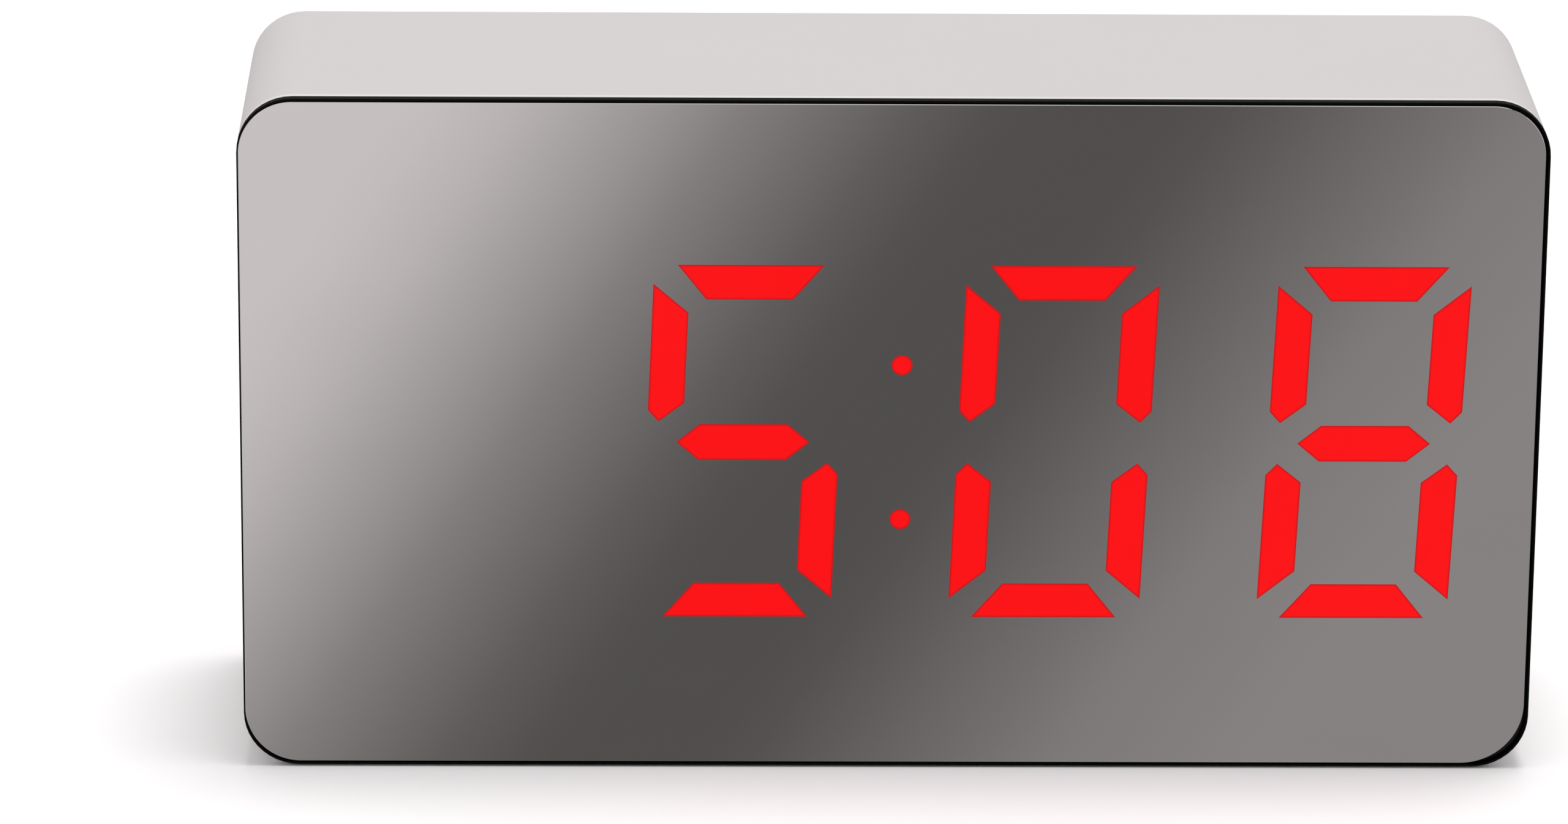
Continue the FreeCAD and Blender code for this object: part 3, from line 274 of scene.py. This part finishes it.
def withoutStraights(loop):
    # drops the points that lie on a straight line between their neighbours: those where the sides
    # before and after, crossed, come to almost nothing beside their lengths
    before = loop - np.roll(loop, 1, 0)
    after = np.roll(loop, -1, 0) - loop
    turn = before[:, 0] * after[:, 1] - before[:, 1] * after[:, 0]
    size = np.linalg.norm(before, axis=1) * np.linalg.norm(after, axis=1)
    return loop[np.abs(turn) > straightShare * size]


def anticlockwise(loop):
    # turned round where the sum of each point crossed with the next is negative
    following = np.roll(loop, -1, 0)
    area = (loop[:, 0] * following[:, 1] - loop[:, 1] * following[:, 0]).sum()
    return loop if area > 0 else loop[::-1]


plasticLook = {
    "grain": 0.32 * mm, "depth": 0.010 * mm, "patch": 14 * mm, "mottle": 0.02,
    "speckle": 0.025, "roughness": 0.42, "roughShare": 0.12, "specular": 0.4,
}


def mouldedPlastic(name, colour, tinted=None, **changes):
    # a moulded skin: fine spark-eroded grain, and a faint cloudiness over it; tinted, where it is
    # given, works the plain colour over on the finish's own place
    look = {**plasticLook, **changes}
    made = Finish(name)
    place = made.place()
    grain = made.noise(place, look["grain"], 2)
    cloud = made.noise(place, look["patch"], 3)
    shade = 1 + (cloud - 0.5) * look["mottle"] + (grain - 0.5) * look["speckle"]
    plain = tone(*colour)
    return made.settle(
        baseColour=made.tint(tinted(made, place, plain) if tinted else plain, shade),
        roughness=look["roughness"] + (grain - 0.5) * look["roughShare"],
        specular=look["specular"],
        normal=made.bump(grain, look["depth"]),
    )


# the painted highlight along the shell's front rim: its colour, how far back it reaches and how softly it
# ends
rimHighlightLook = {"colour": (202, 199, 198), "width": 0.65 * mm, "fade": 0.06 * mm}


def paintedRimHighlight(made, place, plain):  # painted highlight: lighter along the shell's rim behind the frame, standing in for the light its front edge catches
    across, depth, up = made.axes(place)
    rim = (shellLow.y + rimHighlightLook["width"] - depth) / rimHighlightLook["fade"]
    return made.mix(rim, plain, tone(*rimHighlightLook["colour"]))


metalLook = {
    "grain": 0.12 * mm, "stretch": (1, 9, 1), "depth": 0.002 * mm, "roughness": 0.28,
    "roughShare": 0.16, "patch": 3 * mm, "mottle": 0.16,
}


def platedMetal(name, colour, **changes):
    # plated or drawn metal: fine lines one way, and a slow change of tone
    look = {**metalLook, **changes}
    made = Finish(name)
    place = made.place()
    lines = made.noise(made.stretch(place, look["stretch"]), look["grain"], 3)
    cloud = made.noise(place, look["patch"], 2)
    return made.settle(
        baseColour=made.tint(tone(*colour), 1 + (cloud - 0.5) * look["mottle"]),
        metallic=1.0,
        roughness=look["roughness"] + (lines - 0.5) * look["roughShare"],
        normal=made.bump(lines, look["depth"]),
    )


coatLook = {
    "colour": (206, 203, 202), "roughness": 0.05, "smear": 0.05, "smearSize": 17 * mm,
    "wave": 0.0015 * mm, "waveSize": 26 * mm, "haze": 0.03, "wiping": (1, 1, 2.6),
}


def halfMirror():
    # vacuum-coated sheet: nearly flat, with a little haze where it has been wiped
    made = Finish("half_mirror_coat")
    place = made.place()
    wiped = made.noise(made.stretch(place, coatLook["wiping"]), coatLook["smearSize"], 3)
    wave = made.noise(place, coatLook["waveSize"], 1)
    return made.settle(
        baseColour=made.tint(tone(*coatLook["colour"]), 1 - wiped * coatLook["haze"]),
        metallic=1.0,
        roughness=coatLook["roughness"] + (wiped - 0.5) * coatLook["smear"],
        normal=made.bump(wave, coatLook["wave"]),
    )


glowLook = {
    "core": (253, 14, 18), "edge": (176, 22, 26), "strength": 1.0, "ripple": 0.05,
    "rippleSize": 2.2 * mm, "body": (40, 4, 4), "roughness": 0.25, "specular": 0.1,
}


def glowingWindow():
    # red light through the coat: full in the middle of a segment, deeper at its outline
    made = Finish("lit_window")
    core = made.node("Attribute", {"attribute_name": "core"}, (), "Fac")
    ripple = made.noise(made.place(), glowLook["rippleSize"], 1)
    light = made.mix(core, tone(*glowLook["edge"]), tone(*glowLook["core"]))
    return made.settle(
        baseColour=tone(*glowLook["body"]),
        roughness=glowLook["roughness"],
        specular=glowLook["specular"],
        emission=made.tint(light, 1 - ripple * glowLook["ripple"]),
        glow=glowLook["strength"],
    )


boardLook = {
    "mask": (18, 92, 52), "track": (34, 122, 70), "pitch": 1.27 * mm, "width": 0.38, "crisp": 14,
    "block": 6.5 * mm, "depth": 0.02 * mm, "weave": 0.5 * mm,
    "shade": (0.94, 0.12), "roughness": (0.28, 0.1),
}


def circuitBoard():
    # solder mask over copper tracks: evenly pitched lines, across in some patches and up in others
    look = boardLook
    made = Finish("circuit_board")
    place = made.place()
    across, depth, up = made.axes(place)
    patch = made.noise(place, look["block"], 0).over(0.5)
    along = patch * across + (1 - patch) * up
    line = abs(along.wrap(look["pitch"]) / look["pitch"] - 0.5)
    track = (look["width"] / 2 - line) * look["crisp"]
    weave = made.noise(place, look["weave"], 1)
    colour = made.mix(track, tone(*look["mask"]), tone(*look["track"]))
    return made.settle(
        baseColour=made.tint(colour, weave.spread(look["shade"])),
        roughness=weave.spread(look["roughness"]),
        normal=made.bump(track.clamped(), look["depth"]),
    )


sleeveLook = {
    "body": (58, 84, 120), "band": (188, 196, 200), "line": (228, 228, 224), "metal": (196, 194, 190),
    "bandShare": 0.26, "lineWidth": 0.5 * mm, "endTrim": 1.35 * mm,
    "drawn": (30, 1, 1), "grain": 2 * mm, "depth": 0.004 * mm,
    "shade": (0.95, 0.1), "roughness": (0.26, 0.1),
}


def cellSleeve(name, node, forward):
    # printed shrink sleeve on a steel cell: a pale band at the positive end, bare metal past both rims
    look = sleeveLook
    made = Finish(name)
    low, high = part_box(node)
    middle = (low.x + high.x) / 2
    half = (high.x - low.x) / 2
    bandFrom = half - 2 * half * look["bandShare"]
    place = made.place()
    across, depth, up = made.axes(place)
    along = (across - middle) * forward
    band = along.over(bandFrom)
    line = (look["lineWidth"] - abs(along - bandFrom)).over(0)
    bare = abs(along).over(half - look["endTrim"])
    grain = made.noise(made.stretch(place, look["drawn"]), look["grain"], 2)
    colour = made.mix(band, tone(*look["body"]), tone(*look["band"]))
    colour = made.mix(line, colour, tone(*look["line"]))
    colour = made.mix(bare, colour, tone(*look["metal"]))
    return made.settle(
        baseColour=made.tint(colour, grain.spread(look["shade"])),
        metallic=bare,
        roughness=grain.spread(look["roughness"]),
        normal=made.bump(grain, look["depth"]),
    )


twoToneLook = {
    "grain": 0.25 * mm, "depth": 0.006 * mm, "shade": (0.96, 0.08), "roughness": 0.4,
    "roughShare": 0.12,
}


def twoTone(name, plastic, metal, edge, soft, **changes):
    # dark plastic up to a place along Y and bright metal past it, both with a fine grain
    look = {**twoToneLook, **changes}
    made = Finish(name)
    place = made.place()
    across, depth, up = made.axes(place)
    grain = made.noise(place, look["grain"], 2)
    past = (depth - edge) / soft + 0.5
    colour = made.mix(past, tone(*plastic), tone(*metal))
    return made.settle(
        baseColour=made.tint(colour, grain.spread(look["shade"])),
        metallic=past.clamped(),
        roughness=look["roughness"] + (grain - 0.5) * look["roughShare"],
        normal=made.bump(grain, look["depth"]),
    )


resistorLook = {
    "glaze": (24, 24, 26), "tin": (200, 200, 196), "row": 1.0 * mm, "bodyHalf": 0.68 * mm,
    "grain": 0.1 * mm, "depth": 0.003 * mm, "shade": (0.92, 0.16), "roughness": (0.3, 0.14),
}


def chipResistor():
    # dark glaze between tinned ends; the two rows' middles lie one row in from the node's box
    look = resistorLook
    made = Finish("chip_resistor")
    low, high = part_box("chip_resistors")
    place = made.place()
    across, depth, up = made.axes(place)
    offLow = abs(up - (low.z + look["row"]))
    offHigh = abs(up - (high.z - look["row"]))
    end = offLow.math("MINIMUM", offLow, offHigh).over(look["bodyHalf"])
    grain = made.noise(place, look["grain"], 2)
    colour = made.mix(end, tone(*look["glaze"]), tone(*look["tin"]))
    return made.settle(
        baseColour=made.tint(colour, grain.spread(look["shade"])),
        metallic=end,
        roughness=grain.spread(look["roughness"]),
        normal=made.bump(grain, look["depth"]),
    )


ribbonLook = {
    "core": 1 * mm, "grey": (176, 176, 176), "edge": (186, 40, 34), "grain": 0.4 * mm,
    "shade": (0.92, 0.1), "furrowShade": 0.12, "depth": 0.2 * mm, "roughness": 0.5, "roughShare": 0.1,
}


def ribbonSleeve():
    # moulded cores side by side, each a ridge, with one red edge; painted shade darkens the furrows
    # between the cores
    look = ribbonLook
    made = Finish("ribbon_sleeve")
    low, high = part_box("ribbon_cable")
    place = made.place()
    across, depth, up = made.axes(place)
    ridge = abs((across - low.x).wrap(look["core"]) / look["core"] - 0.5)
    edge = (low.x + look["core"] - across).over(0)
    grain = made.noise(place, look["grain"], 2)
    colour = made.mix(edge, tone(*look["grey"]), tone(*look["edge"]))
    return made.settle(
        # painted shade: the colour is darker in the furrows between cores
        baseColour=made.tint(colour, grain.spread(look["shade"]) - ridge * look["furrowShade"]),
        roughness=look["roughness"] + (grain - 0.5) * look["roughShare"],
        normal=made.bump(1 - ridge ** 2, look["depth"]),
    )


# material slot: name, colour, and what differs from plasticLook
plasticSlots = {
    # the shell's rim carries a painted highlight
    "white_abs": ("shell_plastic", (185, 182, 181), {"tinted": paintedRimHighlight}),
    "button_abs": ("button_plastic", (186, 183, 182), {"grain": 0.2 * mm, "roughness": 0.34}),
    "black_abs": (
        "frame_plastic", (7, 7, 7), {"roughness": 0.62, "specular": 0.05, "depth": 0.006 * mm},
    ),
    "adhesive_tape": ("tape", (22, 22, 22), {"roughness": 0.7, "grain": 0.5 * mm}),
    "pad_rubber": (
        "pad_rubber", (178, 178, 176), {"roughness": 0.75, "grain": 0.22 * mm, "depth": 0.02 * mm},
    ),
    "mask_black": ("display_mask_ink", (9, 9, 10), {"roughness": 0.8, "grain": 0.2 * mm}),
    "reflector_white": ("reflector_plastic", (238, 238, 234), {"roughness": 0.5}),
    "lit_red": ("lit_resin", (226, 28, 28), {"roughness": 0.3, "mottle": 0.1}),
    "dark_red": ("unlit_resin", (120, 66, 62), {"roughness": 0.3, "mottle": 0.1}),
    "led_chip": ("led_resin", (238, 226, 176), {"roughness": 0.2, "grain": 0.15 * mm, "mottle": 0.2}),
    "chip_black": (
        "chip_epoxy", (28, 28, 30), {"roughness": 0.55, "grain": 0.12 * mm, "depth": 0.012 * mm},
    ),
    "buzzer_black": ("buzzer_plastic", (20, 20, 21), {"roughness": 0.45, "grain": 0.25 * mm}),
    "plunger_brown": ("plunger_plastic", (112, 66, 40), {"roughness": 0.4}),
    "usb_core": ("inlet_core", (18, 18, 19), {"roughness": 0.5, "grain": 0.15 * mm}),
    "wire_black": ("black_sleeve", (20, 20, 21), {"roughness": 0.45, "grain": 0.4 * mm}),
    "wire_red": ("red_sleeve", (188, 24, 20), {"roughness": 0.42, "grain": 0.4 * mm}),
}
# the same for metalLook
metalSlots = {
    "screw_steel": (
        "zinc_screw", (186, 188, 190), {"stretch": (1, 1, 1), "grain": 0.2 * mm, "roughness": 0.34},
    ),
    "tinned_lead": ("tinned_lead", (206, 206, 202), {"grain": 0.08 * mm, "roughness": 0.3}),
    "crystal_can": ("crystal_can", (200, 200, 196), {"stretch": (14, 1, 1)}),
    "usb_steel": ("inlet_steel", (190, 190, 192), {"stretch": (1, 12, 1), "roughness": 0.24}),
    "contact_nickel": ("nickel_contact", (202, 198, 188), {"roughness": 0.22}),
}
switchLook = {"case": (20, 20, 22), "lid": (196, 196, 194), "lidDepth": 0.35 * mm, "fade": 0.04 * mm}
canLook = {"sleeve": (30, 30, 34), "can": (196, 198, 202), "sleeveFrom": 0.7 * mm, "fade": 0.05 * mm}
cellWays = {"battery_cell_1": 1, "battery_cell_2": -1, "battery_cell_3": 1}  # 1: positive end to +X


def dressNodes():
    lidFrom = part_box("switch_bodies")[1].y - switchLook["lidDepth"]
    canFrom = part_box("filter_capacitor")[0].y + canLook["sleeveFrom"]
    bySlot = {
        "board_green": circuitBoard(),
        "resistor_body": chipResistor(),
        "ribbon_grey": ribbonSleeve(),
        "switch_black": twoTone(
            "switch_case", switchLook["case"], switchLook["lid"], lidFrom, switchLook["fade"],
        ),
        "capacitor_can": twoTone(
            "capacitor_sleeve", canLook["sleeve"], canLook["can"], canFrom, canLook["fade"], roughness=0.3,
        ),
    }
    for slot, (name, colour, changes) in plasticSlots.items():
        bySlot[slot] = mouldedPlastic(name, colour, **changes)
    for slot, (name, colour, changes) in metalSlots.items():
        bySlot[slot] = platedMetal(name, colour, **changes)
    for part in frame["record"]["subparts"]:
        if part["material_slot"] in bySlot:
            node = frame["nodes"][part["node"]]
            node.material_slots[0].material = bySlot[part["material_slot"]]
    for name, forward in cellWays.items():
        sleeve = cellSleeve(name.replace("battery_cell", "cell_sleeve"), name, forward)
        frame["nodes"][name].material_slots[0].material = sleeve
    print("finishes on", len(frame["nodes"]), "frame nodes")


sheetShape = {
    "corners": (4.8, 4.8, 5.0, 5.7),  # from the top right corner round to the bottom right one
    "trimLow": (-0.05, 0.12), "trimHigh": (0.2, 0.12),
    "bevel": 0.05 * mm, "steps": 25, "fade": 0.22 * mm, "fadeMost": 0.3,
}


def sheetOutlines():
    # the sheet's rounded outline, and the smaller one where its front bevel starts
    bevel = sheetShape["bevel"]
    low = np.array([faceLow.x, faceLow.z]) + mm * np.array(sheetShape["trimLow"])
    high = np.array([faceHigh.x, faceHigh.z]) - mm * np.array(sheetShape["trimHigh"])
    corners = mm * np.array(sheetShape["corners"])
    outer = roundedOutline(low, high, corners, sheetShape["steps"])
    crown = roundedOutline(low + bevel, high - bevel, corners - bevel, sheetShape["steps"])
    return outer, crown


def mirrorSheet():
    # a flat front inside a bevelled rounded outline, pierced by the outline of every lit segment; each
    # window is filled by an inner core and a ring that fades out to its outline
    outer, crown = sheetOutlines()
    windows = frontLoops("lit_segments") + frontLoops("colon_dots")
    flat, rings, mirrorFaces = cutFlat([crown] + windows)
    points = [atDepth(flat, faceLow.y)]
    core = [np.zeros(len(flat))]
    glowFaces = []
    total = len(flat)
    for ring, loop in zip(rings[1:], windows):
        fade = min(sheetShape["fade"], sheetShape["fadeMost"] * np.ptp(loop, 0).min())
        points.append(atDepth(drawnIn(loop, fade), faceLow.y))
        core.append(np.ones(len(loop)))
        within = list(range(total, total + len(loop)))
        glowFaces += zip(ring, ring[1:] + ring[:1], within[1:] + within[:1], within)
        glowFaces.append(tuple(within))
        total += len(loop)
    side = list(range(total, total + len(outer)))
    back = list(range(total + len(outer), total + 2 * len(outer)))
    points += [atDepth(outer, faceLow.y + sheetShape["bevel"]), atDepth(outer, faceHigh.y)]
    core.append(np.zeros(2 * len(outer)))
    mirrorFaces += wallBetween(rings[0], side) + wallBetween(side, back) + [tuple(back[::-1])]
    sheet = pieceFrom(
        "mirror_sheet", np.concatenate(points), mirrorFaces + glowFaces, "case",
        [halfMirror(), glowingWindow()], [0] * len(mirrorFaces) + [1] * len(glowFaces),
    )
    attribute = sheet.data.attributes.new("core", "FLOAT", "POINT")
    attribute.data.foreach_set("value", np.concatenate(core).astype(np.float32))
    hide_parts("mirror_panel")
    print("mirror sheet with", len(windows), "glowing windows")


signShape = {
    "size": 1.05 * mm, "above": 4.6 * mm, "ink": 0.02 * mm, "stroke": 0.34, "dot": 0.32,
    "bars": (-0.75, 0, 0.75), "arrow": [[-0.95, -0.6], [0.95, -0.6], [0, 0.95]],
    "moonAside": 0.45, "moonBite": 0.83, "moonSteps": (30, 24), "ringSteps": 40, "dotSteps": 24,
    "colour": (92, 92, 94), "roughness": 0.5, "grain": 0.15 * mm,
}


def ringLoop(radius, steps):
    # a circle: radius times the cosine and sine of a whole turn in equal steps
    turn = np.linspace(0, 2 * np.pi, steps, endpoint=False)
    return radius * np.stack([np.cos(turn), np.sin(turn)], 1)


def barLoop(height):
    half = signShape["stroke"] / 2
    return np.array([[-1, height - half], [1, height - half], [1, height + half], [-1, height + half]])


def moonLoop():
    # a unit circle less a smaller one set aside: the outer arc runs round from tip to tip, and the
    # cut circle's arc runs back
    aside, bite = signShape["moonAside"], signShape["moonBite"]
    outerSteps, innerSteps = signShape["moonSteps"]
    tip = (1 - bite ** 2 + aside ** 2) / (2 * aside)
    turn = np.linspace(math.acos(tip), 2 * math.pi - math.acos(tip), outerSteps)
    away = math.acos((tip - aside) / bite)
    back = np.linspace(2 * math.pi - away, away, innerSteps)[1:-1]
    outside = np.stack([np.cos(turn), np.sin(turn)], 1)
    inside = np.stack([aside + bite * np.cos(back), bite * np.sin(back)], 1)
    return np.concatenate([outside, inside])


def signLoops():
    # every sign is a list of shapes, and every shape an outer loop with any loop cut out of it; each
    # is about its own middle and one unit from there to its edge
    arrow = np.array(signShape["arrow"])
    steps = signShape["ringSteps"]
    ring = [ringLoop(1, steps), ringLoop(1 - signShape["stroke"], steps)]
    return {
        "mode": [[barLoop(height)] for height in signShape["bars"]],
        "set": [ring, [ringLoop(signShape["dot"], signShape["dotSteps"])]],
        "up": [[arrow]],
        "down": [[arrow * (1, -1)]],
        "snooze": [[moonLoop()]],
    }


def buttonSigns():
    # a thin film of ink over each button, cut from its loops, which are turned round to be read from
    # behind
    looks = {key: signShape[key] for key in ("roughness", "grain")}
    ink = mouldedPlastic("sign_ink", signShape["colour"], **looks)
    signs = signLoops()
    for name, shapes in signs.items():
        low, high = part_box(name + "_button")
        middle = np.array([(low.x + high.x) / 2, (low.z + high.z) / 2 + signShape["above"]])
        points = []
        faces = []
        total = 0
        for shape in shapes:
            placed = [anticlockwise(middle + signShape["size"] * loop * (-1, 1)) for loop in shape]
            flat, rings, filled = cutFlat(placed)
            points += [atDepth(flat, shellHigh.y), atDepth(flat, shellHigh.y + signShape["ink"])]
            faces += [tuple(total + i for i in face) for face in filled]
            faces += [tuple(total + len(flat) + i for i in face[::-1]) for face in filled]
            for ring, way in zip(rings, (1, -1)):
                near = [total + i for i in ring[::way]]
                far = [len(flat) + i for i in near]
                faces += wallBetween(near, far)
            total += 2 * len(flat)
        sign = pieceFrom(name + "_sign", np.concatenate(points), faces, "case", [ink])
    print("signs over", len(signs), "buttons")


viewSetting = {
    "place": (-0.0226, -0.6785, 0.2513), "turn": (71.87, -0.49, -0.96), "lens": 178.3, "sensor": 36,
    "near": 0.01, "far": 20,
}
softboxSetting = {"place": (0.075, 0.04, 1.0), "size": 0.44, "power": 5.6, "colour": (1, 0.985, 0.985)}
skySetting = {"colour": (1.0, 0.985, 0.99, 1), "strength": 0.78}
floorSetting = {
    "half": 3.0, "colour": (0.93, 0.922, 0.925, 1), "fibre": 1.2 * mm, "depth": 0.01 * mm,
    "shade": (0.995, 0.01), "roughness": 0.9, "specular": 0.1,
}
# an upright card ahead of the face, which only reflections see; each stop is a place in millimetres
# along its slant and a grey from 0 to 255, and warmth is added to that grey
cardSetting = {
    "ahead": 0.1, "half": 0.6, "lean": 34.2, "gain": 1.62, "warmth": (1.2, -1, -0.6),
    "stops": [
        (-59, 197), (-55, 194), (-48, 183), (-41.5, 166), (-36, 151), (-29, 129), (-22, 112),
        (-15, 95), (-8, 83), (-3, 80), (6, 80), (11.5, 84), (18, 94), (24, 104), (31, 114),
        (38, 125), (47, 130), (54, 134),
    ],
}


def softbox():
    lamp = bpy.data.lights.new("softbox", "AREA")
    lamp.shape = "DISK"
    lamp.size = softboxSetting["size"]
    lamp.energy = softboxSetting["power"]
    lamp.color = softboxSetting["colour"]
    made = bpy.data.objects.new("softbox", lamp)
    made.location = softboxSetting["place"]
    made.rotation_euler = (-made.location).to_track_quat("-Z", "Y").to_euler()  # it looks at the origin
    bpy.context.scene.collection.objects.link(made)


def sky():
    world = bpy.data.worlds.new("studio")
    world.use_nodes = True
    back = world.node_tree.nodes["Background"]
    back.inputs["Color"].default_value = skySetting["colour"]
    back.inputs["Strength"].default_value = skySetting["strength"]
    bpy.context.scene.world = world


def floorFinish():
    made = Finish("floor_paper")
    fibre = made.noise(made.place(), floorSetting["fibre"], 3)
    return made.settle(
        baseColour=made.tint(floorSetting["colour"], fibre.spread(floorSetting["shade"])),
        roughness=floorSetting["roughness"],
        specular=floorSetting["specular"],
        normal=made.bump(fibre, floorSetting["depth"]),
    )


def cardFinish():
    # the grey goes by the place along one slanted line: across times the cosine of the lean, less up
    # times its sine
    made = Finish("gradient_card")
    across, depth, up = made.axes(made.place())
    lean = math.radians(cardSetting["lean"])
    along = across * math.cos(lean) - up * math.sin(lean)
    places, greys = zip(*cardSetting["stops"])
    start, reach = places[0], places[-1] - places[0]
    colours = [tone(*[grey + extra for extra in cardSetting["warmth"]]) for grey in greys]
    stops = [((place - start) / reach, colour) for place, colour in zip(places, colours)]
    ramp = made.node("ValToRGB", {"stops": stops}, [(along / mm - start) / reach])
    return made.glowOnly(ramp, cardSetting["gain"])


def studio():
    half = floorSetting["half"]
    corners = half * np.array([[-1, -1, 0], [1, -1, 0], [1, 1, 0], [-1, 1, 0]])
    floor = pieceFrom("floor", corners, [(0, 1, 2, 3)], None, [floorFinish()])
    floor.visible_glossy = False
    square = cardSetting["half"] * np.array([[-1, -1], [1, -1], [1, 1], [-1, 1]])
    corners = atDepth(square, faceLow.y - cardSetting["ahead"])
    card = pieceFrom("gradient_card", corners, [(3, 2, 1, 0)], None, [cardFinish()])
    card.visible_camera = False
    card.visible_diffuse = False
    card.visible_transmission = False
    card.visible_shadow = False
    softbox()
    sky()
    bpy.context.scene.view_settings.view_transform = "Standard"
    print("studio ready")


def camera():
    lens = bpy.data.cameras.new("camera")
    lens.lens = viewSetting["lens"]
    lens.sensor_width = viewSetting["sensor"]
    lens.clip_start = viewSetting["near"]
    lens.clip_end = viewSetting["far"]
    made = bpy.data.objects.new("camera", lens)
    made.location = viewSetting["place"]
    made.rotation_euler = [math.radians(value) for value in viewSetting["turn"]]
    bpy.context.scene.collection.objects.link(made)
    bpy.context.scene.camera = made
    print("camera in place")


camera()
studio()
dressNodes()
mirrorSheet()
buttonSigns()
